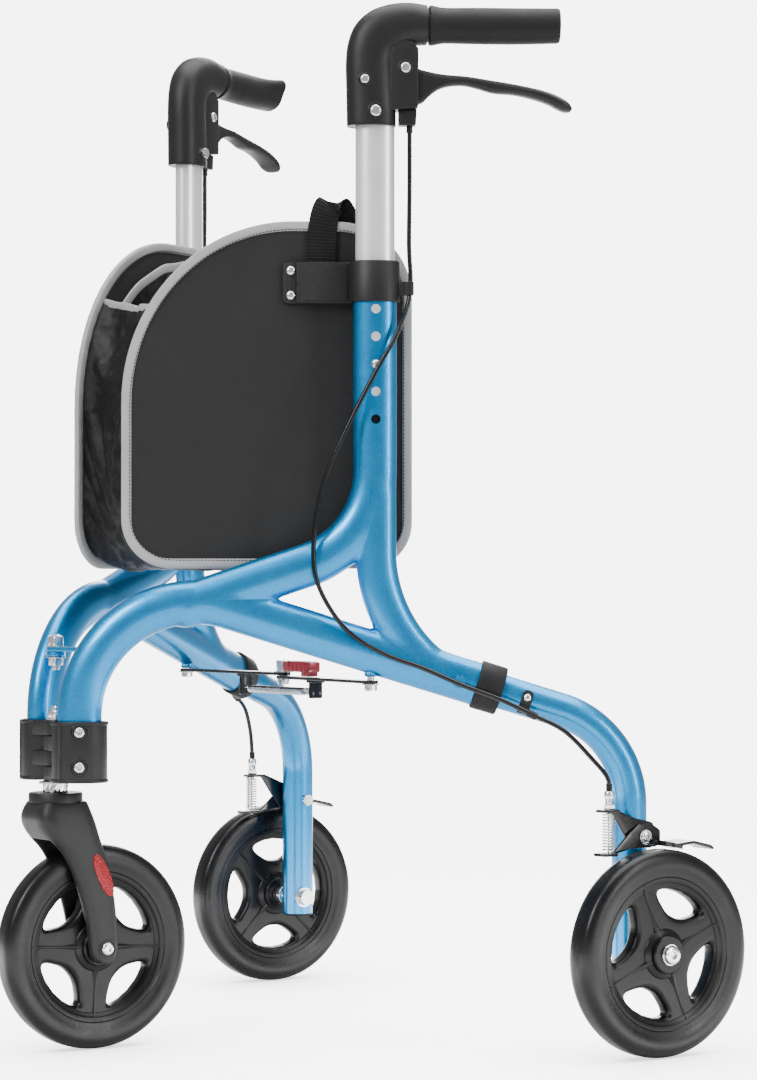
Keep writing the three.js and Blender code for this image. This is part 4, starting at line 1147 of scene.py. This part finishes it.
def fork(s):
    levels = [(80.4, -404.6, -401.4, 29.0), (81.4, -410, -396, 29.2), (84.6, -414.6, -391.4, 29.4),
              (89.6, -417.4, -388.8, 29.4),
              (97, -418.6, -388, 29.4), (110, -420, -388.2, 29.4), (124, -422.6, -389.2, 29.4),
              (140, -427, -391, 29.4),
              (156, -432.6, -393.8, 29.4), (172, -439.4, -397.6, 29.4), (186, -448, -402, 29.6),
              (197, -458.5, -405.6, 29.8),
              (206, -465.4, -408.4, 29.8), (214, -468.4, -411, 29.2), (221, -468.2, -413.6, 27.8),
              (227, -466, -415.6, 25.6),
              (231.5, -463.4, -417.4, 23.4)]
    rings = []
    for row in smooth_many(np.array(levels), 110):
        z, front, rear, half = row
        c = circle(72)
        rings.append(np.column_stack([half * np.sign(c[:, 0]) * np.abs(c[:, 0]) ** 0.42,
                                      (front + rear) / 2 + (rear - front) / 2 * np.sign(c[:, 1])
                                      * np.abs(c[:, 1]) ** 0.5,
                                      np.full(72, z)]))
    obj = build("fork_raw", loft(rings), "black_plastic", None)
    mouth = [(-520, 60), (-360, 60), (-360, 196), (-412, 203.5), (-436, 203), (-452, 199), (-470, 189),
             (-520, 150)]
    cut_holes(obj, plate(round_loop(mouth, [1, 1, 30, 18, 18, 14, 20, 1]), -18.2, 18.2, 0.1, plane="yz"),
              ["black_plastic"])
    mesh = voxel(obj, 1.1, 5)
    verts, faces = mesh_arrays(mesh)
    body = Shape(verts / MM, faces)
    disc = lathe([(23.5, 229.5), (25, 230.6), (25, 238.4), (24.2, 239.4), (8, 239.6), (8, 236)],
                 (0, HINGE_Y, 0), UP, 64)
    neck = lathe([(21, 222), (21.5, 228), (22.6, 230)], (0, HINGE_Y, 0), UP, 64)
    marks = []
    for sign in (1, -1):
        marks.append(recess((29.4 * sign, FRONT_Y, WHEEL_R), (sign, 0, 0), 7.0))
    build("fork_body", join(body, disc, neck, *marks).moved(in_row), "black_plastic", "fork",
          ["caster_fork"],
          angle=50)
    red = []
    for sign in (1, -1):
        t = np.linspace(0, 2 * math.pi, 40, endpoint=False)
        rings = []
        for k, x in ((1.0, 28.6), (1.0, 30.0), (0.94, 30.5), (0.6, 30.8), (0.02, 30.9)):
            a, b = 6.6 * k * np.cos(t), 21.5 * k * np.sin(t)
            lean = math.radians(24)
            y = -407.5 + a * math.cos(lean) - b * math.sin(lean)
            z = 163 + a * math.sin(lean) + b * math.cos(lean)
            rings.append(np.column_stack([np.full(40, x * sign), y, z]))
        shape = loft(rings)
        red.append(shape if sign > 0 else Shape(shape.verts, [f[::-1] for f in shape.faces]))
    build("fork_reflectors", join(*red).moved(in_row), "reflector_red", "fork")
    bolt = join(rod((-30, FRONT_Y, 95), (30, FRONT_Y, 95), 4.8), screw((29.6, FRONT_Y, 95), (1, 0, 0), 6.2),
                screw((-29.6, FRONT_Y, 95), (-1, 0, 0), 6.2)).moved(in_row)
    build("fork_axle", bolt, "zinc", "fork", ["front_axle"])


def voxel(obj, size, smooth):
    """Remeshes an object and relaxes it, and removes it."""
    mod = obj.modifiers.new("remesh", "REMESH")
    mod.mode, mod.voxel_size = "VOXEL", size * MM
    relax = obj.modifiers.new("relax", "SMOOTH")
    relax.factor, relax.iterations = 0.5, smooth
    mesh = applied(obj)
    bpy.data.objects.remove(obj)
    return mesh


# ---------- spreader ----------
def spreader(s):
    hook_y = CENTRE_Y + (SPREAD_Y - CENTRE_Y) * HOOK_X / SPREAD_X

    def link(sign):
        a, b = np.array((SPREAD_X * sign, SPREAD_Y)), np.array((0.0, CENTRE_Y))
        h = math.atan2(b[1] - a[1], b[0] - a[0])
        out = [tuple(b + 7 * np.array((math.cos(h + t), math.sin(h + t))))
               for t in np.linspace(-math.pi / 2, math.pi / 2, 13)]
        out += [tuple(a + 7 * np.array((math.cos(h + t), math.sin(h + t))))
                for t in np.linspace(math.pi / 2, 3 * math.pi / 2, 13)]
        return out
    left = plate(link(1), 340, 343, 0.5)
    right = plate(link(-1), 343.3, 346.3, 0.5)
    for sign, z in ((1, 341), (-1, 344)):
        hook = plate(round_loop([(hook_y - 7, 323), (hook_y + 7, 323), (hook_y + 7, z), (hook_y - 7, z)],
                                1.5),
                     HOOK_X * sign - 1.4, HOOK_X * sign + 1.4, 0.5, plane="yz")
        lip = plate(round_loop([(HOOK_X * sign - 6, hook_y - 7), (HOOK_X * sign + 6, hook_y - 7),
                                (HOOK_X * sign + 6, hook_y + 7), (HOOK_X * sign - 6, hook_y + 7)], 1.0),
                    z - 3.2, z - 0.6, 0.5)
        if sign > 0:
            left = join(left, hook, lip)
        else:
            right = join(right, hook, lip)
    build("left_link_bar", left.moved(in_row), "black_steel", "left_link", ["left_spreader_link"])
    build("right_link_bar", right.moved(in_row), "black_steel", "right_link", ["right_spreader_link"])
    c = (0, CENTRE_Y, 0)
    pivot = join(lathe([(7.2, 346.9), (8, 347.6), (8, 356.6), (7, 358), (0.1, 358.2)], c, UP, 36,
                       hexagon=(1, 2)),
                 lathe([(9.4, 346.5), (9.4, 347.3)], c, UP, 36),
                 rod((0, CENTRE_Y, 335), (0, CENTRE_Y, 347), 3.9),
                 lathe([(5.8, 334.4), (6.6, 335.2), (6.6, 339.2), (6, 339.9)], c, UP, 36, hexagon=(1, 2)))
    build("link_pivot_nut", pivot.moved(in_row), "zinc", "left_link")
    a = (SPREAD_X, SPREAD_Y, 0)
    stud = join(rod((*a[:2], 334), (*a[:2], 348), 3.4), nut((*a[:2], 333.4), UP, 6.6, 5.4),
                lathe([(8.2, 339), (8.2, 339.8)], a, UP, 32)).moved(in_row)
    build("left_link_stud", stud, "zinc", "left_frame")
    b = (-SPREAD_X, SPREAD_Y, 0)
    stud = join(nut((*b[:2], 337.6), UP, 6.6, 5.0), lathe([(8.2, 342.5), (8.2, 343.3)], b, UP,
                                                          32)).moved(in_row)
    build("right_link_stud", stud, "zinc", "right_link")
    grip = plate(round_loop([(10.4, 347.4), (57.6, 347.4), (57.6, 357.4), (10.4, 357.4)], 1.6),
                 CENTRE_Y - 7.8, CENTRE_Y + 5.8,
                 1.2, plane="xz")
    ridges = [plate(round_loop([(x, CENTRE_Y - 8.3), (x + 2.4, CENTRE_Y - 8.3), (x + 2.4, CENTRE_Y + 6.2),
                                (x, CENTRE_Y + 6.2)], 0.6),
                    347.6, 357.9, 0.5) for x in (20, 27, 34, 41, 48)]
    foot = plate(round_loop([(44, CENTRE_Y - 8), (57.8, CENTRE_Y - 8), (57.8, CENTRE_Y + 3),
                             (44, CENTRE_Y + 3)], 1), 343.5, 350, 0.5)
    build("release_grip", join(grip, foot, *ridges).moved(in_row), "red_plastic", "left_link",
          ["release_tab"])
    for name, offset in (("front", -3.6), ("rear", 3.6)):
        y = hook_y + offset
        coil = spring((-50, y, 329), (50, y, 329), 3.0, 0.62, 66, 10)
        ends = [sweep(smooth_line([(50 * k, y, 332), (55 * k, y, 331), (60 * k, y, 330),
                                   (65.4 * k, y, 329.4),
                                   (66.2 * k, y, 326.5)], 16), 0.62, 8) for k in (1, -1)]
        obj = build(f"spring_coil_{name}", join(coil, *ends).moved(in_row), "steel_wire", None)
        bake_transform(obj)
        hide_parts(f"spreader_spring_{name}")


# ---------- bag ----------
def panel_outline(grow=0.0, count=220):
    """The bag panel's outline in its side frame, (u, z), larger by grow."""
    front, rear, low, high = BAG_FRONT - grow, BAG_REAR + grow, BAG_LOW - grow, BAG_HIGH + grow
    pts = []
    for cu, cz, ru, rz, start in ((rear - 38, low + 38, 38, 38, -math.pi / 2),
                                  (rear - 65, high - 65, 65, 65, 0),
                                  (front + 155, high - 165, 155, 165, math.pi / 2),
                                  (front + 41, low + 41, 41, 41, math.pi)):
        for a in np.linspace(start, start + math.pi / 2, 24):
            pts.append((cu + ru * math.cos(a), cz + rz * math.sin(a)))
    pts.append(pts[0])
    return even(np.array(pts), count + 1)[:-1]


def bag_panels(s):
    loop = panel_outline(-3.5)
    centre = np.array((175.0, 600.0))
    rings = []
    steps = np.concatenate([np.linspace(1, 0.9, 6), np.linspace(0.86, 0.04, 20)])

    def face(share, out):
        flat = centre + (loop - centre) * share
        puff = 1.0 * (1 - share ** 6)
        wave = np.array([noise.noise(Vector((p[0] * 0.012, p[1] * 0.010, 5 + out)))
                         for p in flat]) * 1.6 * (1 - share ** 8)
        v = BAG_THICK / 2 + out * (1.3 + 0.5 * puff) + wave
        return np.column_stack([flat[:, 0], panel_v(flat[:, 0], np.clip(v, -1.2, BAG_THICK + 1.4)),
                                flat[:, 1]])
    for share in steps[::-1]:
        rings.append(face(share, -1))
    for share in steps:
        rings.append(face(share, 1))
    shape = loft(rings)
    shape.coords = shape.verts[:, [0, 2, 1]]
    shape = shape.moved(in_frame)
    pair("bag_side", shape, "bag_fabric", "frame", ["bag_panel"])
    edge = panel_outline(-3.8, 200)
    line = np.column_stack([edge[:, 0], panel_v(edge[:, 0], BAG_THICK / 2), edge[:, 1]])
    sec = [(math.cos(a), math.sin(a)) for a in np.linspace(0, 2 * math.pi, 20, endpoint=False)]
    sec = np.array([(np.sign(x) * abs(x) ** 0.6, np.sign(y) * abs(y) ** 0.6) for x, y in sec])
    tangents, _, _ = frames(line, closed=True)
    rings = []
    along = lengths(line)
    coords = []
    for i, p in enumerate(line):
        across = np.cross(tangents[i], (0, 1, 0))
        swell = 1 + 0.05 * math.sin(along[i] * 0.9)
        rings.append(p + np.outer(sec[:, 0] * 4.7, across) + np.outer(sec[:, 1] * 3.0 * swell, (0, 1, 0)))
        coords.append(np.column_stack([sec[:, 0] * 4.7, np.full(20, along[i]), sec[:, 1]]))
    binding = loft(rings, closed=True)
    binding.coords = np.vstack(coords)
    pair("bag_edge", binding.moved(in_frame), "bag_binding", "frame")
    stitch_rows()


def stitch_rows():
    """Stitches along the binding, instanced on its line by geometry nodes."""
    inner = panel_outline(-6.9, 200)
    for side, sign in SIDES.items():
        for face, out in (("out", -1), ("in", 1)):
            v = panel_v(inner[:, 0], BAG_THICK / 2 + out * 2.9)
            pts = in_frame(np.column_stack([inner[:, 0], v, inner[:, 1]])) * [sign, 1, 1]
            bead = sweep([(-1.25, 0, 0), (-0.9, 0, 0.12), (0, 0, 0.2), (0.9, 0, 0.12), (1.25, 0, 0)],
                         [0.15, 0.48, 0.54, 0.48, 0.15], 6)
            repeat_along(f"{side}_bag_stitches_{face}", pts, bead, 3.4, "thread", f"{side}_frame")


def repeat_along(name, points, bead, pitch, mat, body):
    """Copies of a bead at an even pitch round a closed line."""
    item = build("bead", bead, mat, None)
    data = bpy.data.curves.new("path", "CURVE")
    data.dimensions = "3D"
    spline = data.splines.new("POLY")
    spline.points.add(len(points) - 1)
    for target, p in zip(spline.points, points):
        target.co = (*(p * MM), 1)
    spline.use_cyclic_u = True
    host = added("path", data)
    group = bpy.data.node_groups.new("stitches", "GeometryNodeTree")
    group.interface.new_socket("Geometry", in_out="INPUT", socket_type="NodeSocketGeometry")
    group.interface.new_socket("Geometry", in_out="OUTPUT", socket_type="NodeSocketGeometry")
    new, link = group.nodes.new, group.links.new
    start, end = new("NodeGroupInput"), new("NodeGroupOutput")
    to_points = new("GeometryNodeCurveToPoints")
    to_points.mode = "LENGTH"
    to_points.inputs["Length"].default_value = pitch * MM
    info = new("GeometryNodeObjectInfo")
    info.inputs["Object"].default_value = item
    place = new("GeometryNodeInstanceOnPoints")
    align = new("FunctionNodeAlignRotationToVector")
    align.axis = "X"
    real, paint = new("GeometryNodeRealizeInstances"), new("GeometryNodeSetMaterial")
    paint.inputs["Material"].default_value = MATS[mat]
    link(start.outputs[0], to_points.inputs[0])
    link(to_points.outputs["Points"], place.inputs["Points"])
    link(info.outputs["Geometry"], place.inputs["Instance"])
    link(to_points.outputs["Tangent"], align.inputs["Vector"])
    link(align.outputs[0], place.inputs["Rotation"])
    link(place.outputs[0], real.inputs[0])
    link(real.outputs[0], paint.inputs[0])
    link(paint.outputs[0], end.inputs[0])
    mod = host.modifiers.new("stitches", "NODES")
    mod.node_group = group
    mesh = applied(host)
    host.modifiers.remove(mod)
    bpy.data.objects.remove(host)
    bpy.data.objects.remove(item)
    obj = added(name, mesh)
    if not mesh.materials:
        mesh.materials.append(MATS[mat])
    mesh.shade_smooth()
    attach(obj, body)


def edge_path():
    """The panel's edge from the front of the pocket, down, under and up behind, as (u, z)."""
    loop = panel_outline(-7.5, 400)
    front = [i for i, p in enumerate(loop) if p[0] < 120 and 540 < p[1]]
    start = min(front, key=lambda i: abs(loop[i][1] - 700))
    order = [loop[(start + k) % 400] for k in range(400)]
    stop = next(k for k, p in enumerate(order) if p[0] > 250 and p[1] > 702)
    return even(np.array(order[:stop + 1]), 150)


def bag_gusset(s):
    """The cloth between the panels: a pleat in front, the floor, and the back, held along both panels."""
    path = edge_path()
    left = in_frame(np.column_stack([path[:, 0], panel_v(path[:, 0], BAG_THICK + 0.9), path[:, 1]]))
    half, y, z = left[:, 0], left[:, 1], left[:, 2]
    tangent = np.gradient(np.column_stack([y, z]), axis=0)
    tangent /= np.linalg.norm(tangent, axis=1)[:, None]
    inward = np.column_stack([-tangent[:, 1], tangent[:, 0]])
    if inward[10][0] < 0:
        inward = -inward
    t = np.linspace(-1, 1, GUSSET_COLUMNS)
    grid = np.zeros((len(path), len(t), 3))
    along = lengths(left)
    for i in range(len(path)):
        upright = abs(tangent[i][1])
        front = upright if y[i] < -100 else 0.0
        deep = 17 * front + 10 * (upright - front) + 5 * (1 - upright)
        for j, tj in enumerate(t):
            edge = 1 - tj ** 4
            n1 = noise.noise(Vector((tj * 1.6, along[i] * 0.012, 1.5)))
            n2 = noise.noise(Vector((tj * 3.2 + along[i] * 0.012, along[i] * 0.032, 7.5)))
            n3 = noise.noise(Vector((tj * 4.5 - along[i] * 0.02, along[i] * 0.05, 3.5)))
            push = deep * (1 - abs(tj) ** 1.5) + (5.5 * n1 + 4.6 * n2 + 2.6 * (0.5 - abs(n3)) * 2) * edge
            grid[i, j] = (-half[i] * tj, y[i] + inward[i][0] * max(push, -1.5),
                          z[i] + inward[i][1] * max(push, -1.5))
    if s.simulate:
        grid = drape(grid)
    floor = [i for i in range(len(path)) if abs(tangent[i][1]) < 0.5]
    edges = [0, *(int(round(v)) for v in np.linspace(floor[0] + 2, floor[-1] - 2, 7)), len(path) - 1]
    for k, name in enumerate(["front", "floor_a", "floor_b", "floor_c", "floor_d", "floor_e", "floor_f",
                              "rear"]):
        a, b = edges[k], edges[k + 1]
        cloth_piece(f"bag_gusset_{name}", grid[a:b + 1], along[a:b + 1],
                    ["bag_gusset"] if k == 0 else ())
    bound_edge("front_pocket_trim", grid[0])
    bound_edge("rear_pocket_trim", grid[-1])
    pouches(s)


def grid_faces(rows, columns):
    """The faces of a grid of points, row by row."""
    return [(i * columns + j, i * columns + j + 1, (i + 1) * columns + j + 1, (i + 1) * columns + j)
            for i in range(rows - 1) for j in range(columns - 1)]


def cloth_piece(name, grid, along, replaces=()):
    """One piece of the gusset, blended across the fold, with its flat size declared."""
    rows, columns = grid.shape[:2]
    faces = grid_faces(rows, columns)
    across = lengths(grid[rows // 2])
    coords = np.array([(c, a, 0) for a in along for c in across])
    shape = thicken(Shape(grid.reshape(-1, 3), faces, coords=coords), CLOTH_THICK)
    obj = build(name, shape, "bag_nylon", None, replaces, 60)
    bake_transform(obj)
    declare_sheet(grid)


def declare_sheet(grid):
    """Gives a sheet's flat size, measured along its own grid."""
    a, b, c, d = grid[:-1, :-1], grid[1:, :-1], grid[1:, 1:], grid[:-1, 1:]
    halves = (np.linalg.norm(np.cross(p - a, q - a), axis=2) for p, q in ((b, c), (c, d)))
    area = sum(halves).sum() / 2 * MM ** 2
    long = max(np.linalg.norm(np.diff(col, axis=0), axis=1).sum() for col in grid.transpose(1, 0, 2)) * MM


def pouches(s):
    """A flat inner pocket on each side panel, its bound edge following the panel's curve."""
    loop = panel_outline(-19, 300)
    start = min((i for i in range(300) if loop[i][0] < 120 and loop[i][1] > 560),
                key=lambda i: abs(loop[i][1] - 688))
    order = [loop[(start - k) % 300] for k in range(300)]
    stop = next(k for k, p in enumerate(order) if p[0] > 262 and p[1] > 650)
    top = even(np.array(order[:stop + 1]), POUCH_COLUMNS)
    down = np.linspace(0, 1, POUCH_ROWS)
    grid = np.zeros((POUCH_ROWS, POUCH_COLUMNS, 3))
    for i, d in enumerate(down):
        for j, (u, z) in enumerate(top):
            t = j / (POUCH_COLUMNS - 1)
            side = min(t, 1 - t) * 2
            ripple = 2.5 * noise.noise(Vector((u * 0.02, z * 0.02 + d * 2, 4.4)))
            w = BAG_THICK + 2 + (13 * (1 - d) ** 0.8 + ripple) * side ** 0.4
            low = 500 + 6 * math.sin(u * 0.02)
            sink = 3 * noise.noise(Vector((u * 0.03, 2.2, 0.7)))
            grid[i, j] = (u, float(panel_v(u, w)), (z + sink) * (1 - d) + low * d)
    n = POUCH_COLUMNS
    faces = [(i * n + j, (i + 1) * n + j, (i + 1) * n + j + 1, i * n + j + 1)
             for i in range(POUCH_ROWS - 1) for j in range(n - 1)]
    shape = thicken(Shape(grid.reshape(-1, 3), faces, coords=grid.reshape(-1, 3)[:, [0, 2, 1]]), CLOTH_THICK)
    placed = in_frame(grid.reshape(-1, 3)).reshape(grid.shape)
    for obj in pair("inner_pouch", shape.moved(in_frame), "bag_nylon", "frame", angle=60):
        declare_sheet(placed)
    pair("inner_pouch_trim", binding_along(grid[0] + [0, 0, -1.5], UP).moved(in_frame), "bag_binding",
         "frame")


def binding_along(line, up):
    """Folded tape along a cloth's edge."""
    sec = circle(14)
    sec = np.sign(sec) * np.abs(sec) ** 0.7
    tangents, _, _ = frames(line)
    along = lengths(line)
    rings, coords = [], []
    for i, p in enumerate(line):
        high = np.array(up, float) - (np.array(up) @ tangents[i]) * tangents[i]
        high /= np.linalg.norm(high)
        rings.append(p + np.outer(sec[:, 0] * 1.3, np.cross(tangents[i], high))
                     + np.outer(sec[:, 1] * 4.3, high))
        coords.append(np.column_stack([sec[:, 1] * 3.6, np.full(14, along[i]), sec[:, 0]]))
    shape = loft(rings)
    shape.coords = np.vstack(coords)
    return shape


def bound_edge(name, line):
    """The binding of one free edge of the gusset, blended with it."""
    obj = build(name, binding_along(line, UP), "bag_binding", None)
    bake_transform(obj)


def thicken(shape, amount):
    """Gives an open sheet its thickness and a closed rim."""
    bm = bmesh.new()
    vs = [bm.verts.new(v) for v in shape.verts]
    for f in shape.faces:
        bm.faces.new([vs[i] for i in f])
    bm.normal_update()
    normals = np.array([v.normal for v in bm.verts])
    bm.verts.index_update()
    rim = [(e.verts[0].index, e.verts[1].index, e.link_faces[0]) for e in bm.edges if len(e.link_faces) == 1]
    ordered = []
    for a, b, face in rim:
        idx = [v.index for v in face.verts]
        k = idx.index(a)
        ordered.append((a, b) if idx[(k + 1) % len(idx)] == b else (b, a))
    bm.free()
    n = len(shape.verts)
    top, low = shape.verts + normals * amount / 2, shape.verts - normals * amount / 2
    faces = shape.faces + [tuple(i + n for i in f[::-1]) for f in shape.faces]
    faces += [(b, a, a + n, b + n) for a, b in ordered]
    coords = None if shape.coords is None else np.vstack([shape.coords, shape.coords])
    return Shape(np.vstack([top, low]), faces, coords=coords)


def drape(grid):
    """Cloth simulation of the gusset, held along both panels."""
    rows, columns = grid.shape[:2]
    mesh = bpy.data.meshes.new("drape")
    mesh.from_pydata((grid.reshape(-1, 3) * MM).tolist(), [], grid_faces(rows, columns))
    obj = added("drape", mesh)
    scene = bpy.context.scene
    held = obj.vertex_groups.new(name="held")
    held.add([i * columns + j for i in range(rows) for j in (0, columns - 1)], 1.0, "REPLACE")
    held.add([i * columns + j for i in (0, rows - 1) for j in range(columns)], 0.9, "REPLACE")
    mod = obj.modifiers.new("cloth", "CLOTH")
    cloth = mod.settings
    cloth.quality, cloth.mass, cloth.time_scale = 6, 0.15, 1.0
    cloth.tension_stiffness = cloth.compression_stiffness = 12
    cloth.shear_stiffness, cloth.bending_stiffness = 6, 0.4
    cloth.vertex_group_mass, cloth.pin_stiffness = "held", 1.0
    cloth.shrink_min = -0.03
    mod.collision_settings.use_self_collision = False
    mod.point_cache.frame_start, mod.point_cache.frame_end = 1, DRAPE_FRAMES
    for f in range(1, DRAPE_FRAMES + 1):
        scene.frame_set(f)
    done = obj.evaluated_get(bpy.context.evaluated_depsgraph_get())
    co = np.zeros(rows * columns * 3)
    done.data.vertices.foreach_get("co", co)
    scene.frame_set(1)
    bpy.data.objects.remove(obj)
    moved = co.reshape(rows, columns, 3) / MM
    change = moved - grid
    size = np.linalg.norm(change, axis=2, keepdims=True)
    return grid + change * np.minimum(1, DRAPE_LIMIT / np.maximum(size, 1e-6))


def bag_strap(s):
    path = smooth_line([(223, 15.1, 694), (223, 15.1, 735), (224.5, 15.3, 764), (227.5, 16.9, 778),
                        (232, 20.4, 785),
                        (238, 24.2, 783), (247, 26.8, 768), (258, 27.2, 748), (268, 27, 726)], 80)
    tangents, _, _ = frames(path)
    sec = [(-1, -0.6), (-0.97, -1), (0.97, -1), (1, -0.6), (1, 0.6), (0.97, 1), (-0.97, 1), (-1, 0.6)]
    along = lengths(path)
    rings, coords = [], []
    for i, p in enumerate(path):
        lean = np.array((1.0, 0, -0.16))
        across = lean - (lean @ tangents[i]) * tangents[i]
        across /= np.linalg.norm(across)
        thick = np.cross(tangents[i], across)
        rings.append([p + across * a * 13.4 + thick * b * 0.85 for a, b in sec])
        coords.append([(a * 13.4, along[i], b) for a, b in sec])
    shape = loft(rings)
    shape.coords = np.vstack(coords)
    build("bag_carry_loop", shape.moved(in_frame), "webbing", "left_frame", ["bag_strap"])


# ---------- stage ----------
def stage(s):
    scene = bpy.context.scene
    mesh = bpy.data.meshes.new("floor")
    mesh.from_pydata([(-14, -14, 0), (14, -14, 0), (14, 14, 0), (-14, 14, 0)], [], [(0, 1, 2, 3)])
    floor = added("floor", mesh)
    g = moulded("floor_white", (0.93, 0.93, 0.93), 0.75, vary=0.01, wear=0.0, grain_bump=0.0)
    away = g.add("ShaderNodeVectorMath", {"operation": "LENGTH"})
    g.tree.links.new(g.coords(), away.inputs[0])
    grazing = g.add("ShaderNodeLayerWeight", Blend=0.5)
    g.set(g.shader, "Emission Color", (1, 1, 1, 1))
    # Painted contact shadow: the floor's glow is dimmed by ambient occlusion where the wheels and frame
    # stand close to it.
    near = g.add("ShaderNodeAmbientOcclusion", {"samples": 12}, Distance=0.14).outputs["AO"]
    glow = g.ramp(grazing.outputs["Facing"], 0.6, 0.84, 0.0, s.sky * 0.72)
    g.set(g.shader, "Emission Strength", g.math("MULTIPLY", glow, g.ramp(near, 0.3, 1.0, 0.3, 1.0)))
    g.set(g.shader, "Alpha", g.ramp(away.outputs["Value"], 0.9, 2.3, 1.0, 0.0))
    mesh.materials.append(g.mat)
    world = bpy.data.worlds.new("studio")
    scene.world = world
    world.use_nodes = True
    tree = world.node_tree
    back = tree.nodes["Background"]
    way = tree.nodes.new("ShaderNodeTexCoord")
    facing = tree.nodes.new("ShaderNodeVectorMath")
    facing.operation = "DOT_PRODUCT"
    facing.inputs[1].default_value = (*VIEW_WAY, 0.0)
    spread = tree.nodes.new("ShaderNodeMapRange")
    spread.interpolation_type = "SMOOTHSTEP"
    for key, value in (("From Min", 0.88), ("From Max", 0.95), ("To Min", s.sky * 0.075), ("To Max", s.sky)):
        spread.inputs[key].default_value = value
    tree.links.new(way.outputs["Generated"], facing.inputs[0])
    tree.links.new(facing.outputs["Value"], spread.inputs["Value"])
    tree.links.new(spread.outputs[0], back.inputs[1])
    back.inputs[0].default_value = (1, 1, 1, 1)
    for name, at, size, power in (("key", (1.0, -3.0, 2.6), (0.9, 1.8), 110),
                                  ("strip", (3.2, 1.6, 1.4), (0.4, 2.6), 60),
                                  ("top", (0.2, 0.4, 3.4), (3.4, 3.4), 210),
                                  ("back", (-2.6, 2.2, 2.2), (1.4, 2.0), 60)):
        data = bpy.data.lights.new(name, "AREA")
        data.shape, data.size, data.size_y, data.energy = "RECTANGLE", size[0], size[1], power * s.light
        lamp = added(name, data)
        lamp.location = at
        aim = Vector((0, 0, 0.5)) - Vector(at)
        lamp.rotation_euler = aim.to_track_quat("-Z", "Y").to_euler()
    camera = bpy.data.cameras.new("camera")
    camera.lens, camera.sensor_width, camera.clip_end = 105.57, 36, 100
    look = Vector((*VIEW_WAY, 0.01227)).normalized()
    right = Vector((0.55194, 0.83389, 0)).normalized()
    up = right.cross(look)
    eye = added("camera", camera)
    basis = Matrix((right, up, -look)).transposed().to_4x4()
    eye.matrix_world = Matrix.Translation((2.6111, (-1811.8 + SHIFT_Y) * MM, 0.4367)) @ basis
    scene.camera = eye


# ---------- add-on ----------
class WalkerSettings(bpy.types.PropertyGroup):
    paint: bpy.props.FloatVectorProperty(
        name="Paint", description="Colour of the painted tubes", subtype="COLOR", size=4,
        default=(0.0, 0.235, 0.54, 1))
    plastic: bpy.props.FloatVectorProperty(
        name="Plastic", description="Colour of the moulded black parts", subtype="COLOR", size=4,
        default=(0.0105, 0.0105, 0.0112, 1))
    weld_fillet: bpy.props.FloatProperty(
        name="Weld fillet (mm)",
            description="How wide the tubes blend into each other where they are welded",
        default=4.0, min=1, max=20)
    simulate: bpy.props.BoolProperty(
        name="Simulate cloth",
            description="Let the bag's gusset settle as cloth, unless the run is a quick one",
        default=True)
    sky: bpy.props.FloatProperty(
        name="Sky", description="Brightness of the backdrop behind the walker", default=6.5)
    light: bpy.props.FloatProperty(
        name="Lamps", description="Brightness of the lamps, as a share of their usual power", default=1.0,
        subtype="FACTOR")


STEPS = [
    ("materials", "Materials", make_materials), ("tubes", "Frame tubes", frame_tubes),
    ("head", "Head block and hinge", head_hinge), ("collars", "Collars, sleeves and clips", collars),
    ("handles", "Handles, grips and levers", handles), ("cables", "Brake cables", cables),
    ("brakes", "Tyre brakes", brakes), ("wheels", "Wheels", wheels), ("fork", "Caster fork", fork),
    ("spreader", "Spreader", spreader), ("panels", "Bag panels", bag_panels),
         ("gusset", "Bag gusset", bag_gusset),
    ("strap", "Bag strap", bag_strap), ("stage", "Stage, light and camera", stage),
]


def operator_for(key, label, make):
    """An operator that runs one building step with the panel's settings."""
    def execute(self, context):
        make(context.scene.walker)
        return {"FINISHED"}
    return type(f"WALKER_OT_{key}", (bpy.types.Operator,), {
        "__doc__": f"Build the {label[0].lower()}{label[1:]}", "bl_idname": f"walker.{key}",
                                                            "bl_label": label,
        "bl_options": {"REGISTER", "UNDO"}, "execute": execute})


OPERATORS = [operator_for(*step) for step in STEPS]


class WALKER_PT_panel(bpy.types.Panel):
    """The settings, and a button for each building step."""
    bl_label, bl_idname = "Rollator walker", "WALKER_PT_panel"
    bl_space_type, bl_region_type, bl_category = "VIEW_3D", "UI", "Walker"

    def draw(self, context):
        for name in WalkerSettings.__annotations__:
            self.layout.prop(context.scene.walker, name)
        for key, label, _ in STEPS:
            self.layout.operator(f"walker.{key}", text=label)


def register():
    bpy.utils.register_class(WalkerSettings)
    bpy.types.Scene.walker = bpy.props.PointerProperty(type=WalkerSettings)
    for cls in (*OPERATORS, WALKER_PT_panel):
        bpy.utils.register_class(cls)


def unregister():
    for cls in (WALKER_PT_panel, *reversed(OPERATORS)):
        bpy.utils.unregister_class(cls)
    del bpy.types.Scene.walker
    bpy.utils.unregister_class(WalkerSettings)


def main():
    """Builds everything on the packed frame and notes both sizes."""
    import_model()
    register()
    for key, _, _ in STEPS:
        getattr(bpy.ops.walker, key)()


if __name__ == "__main__":
    main()
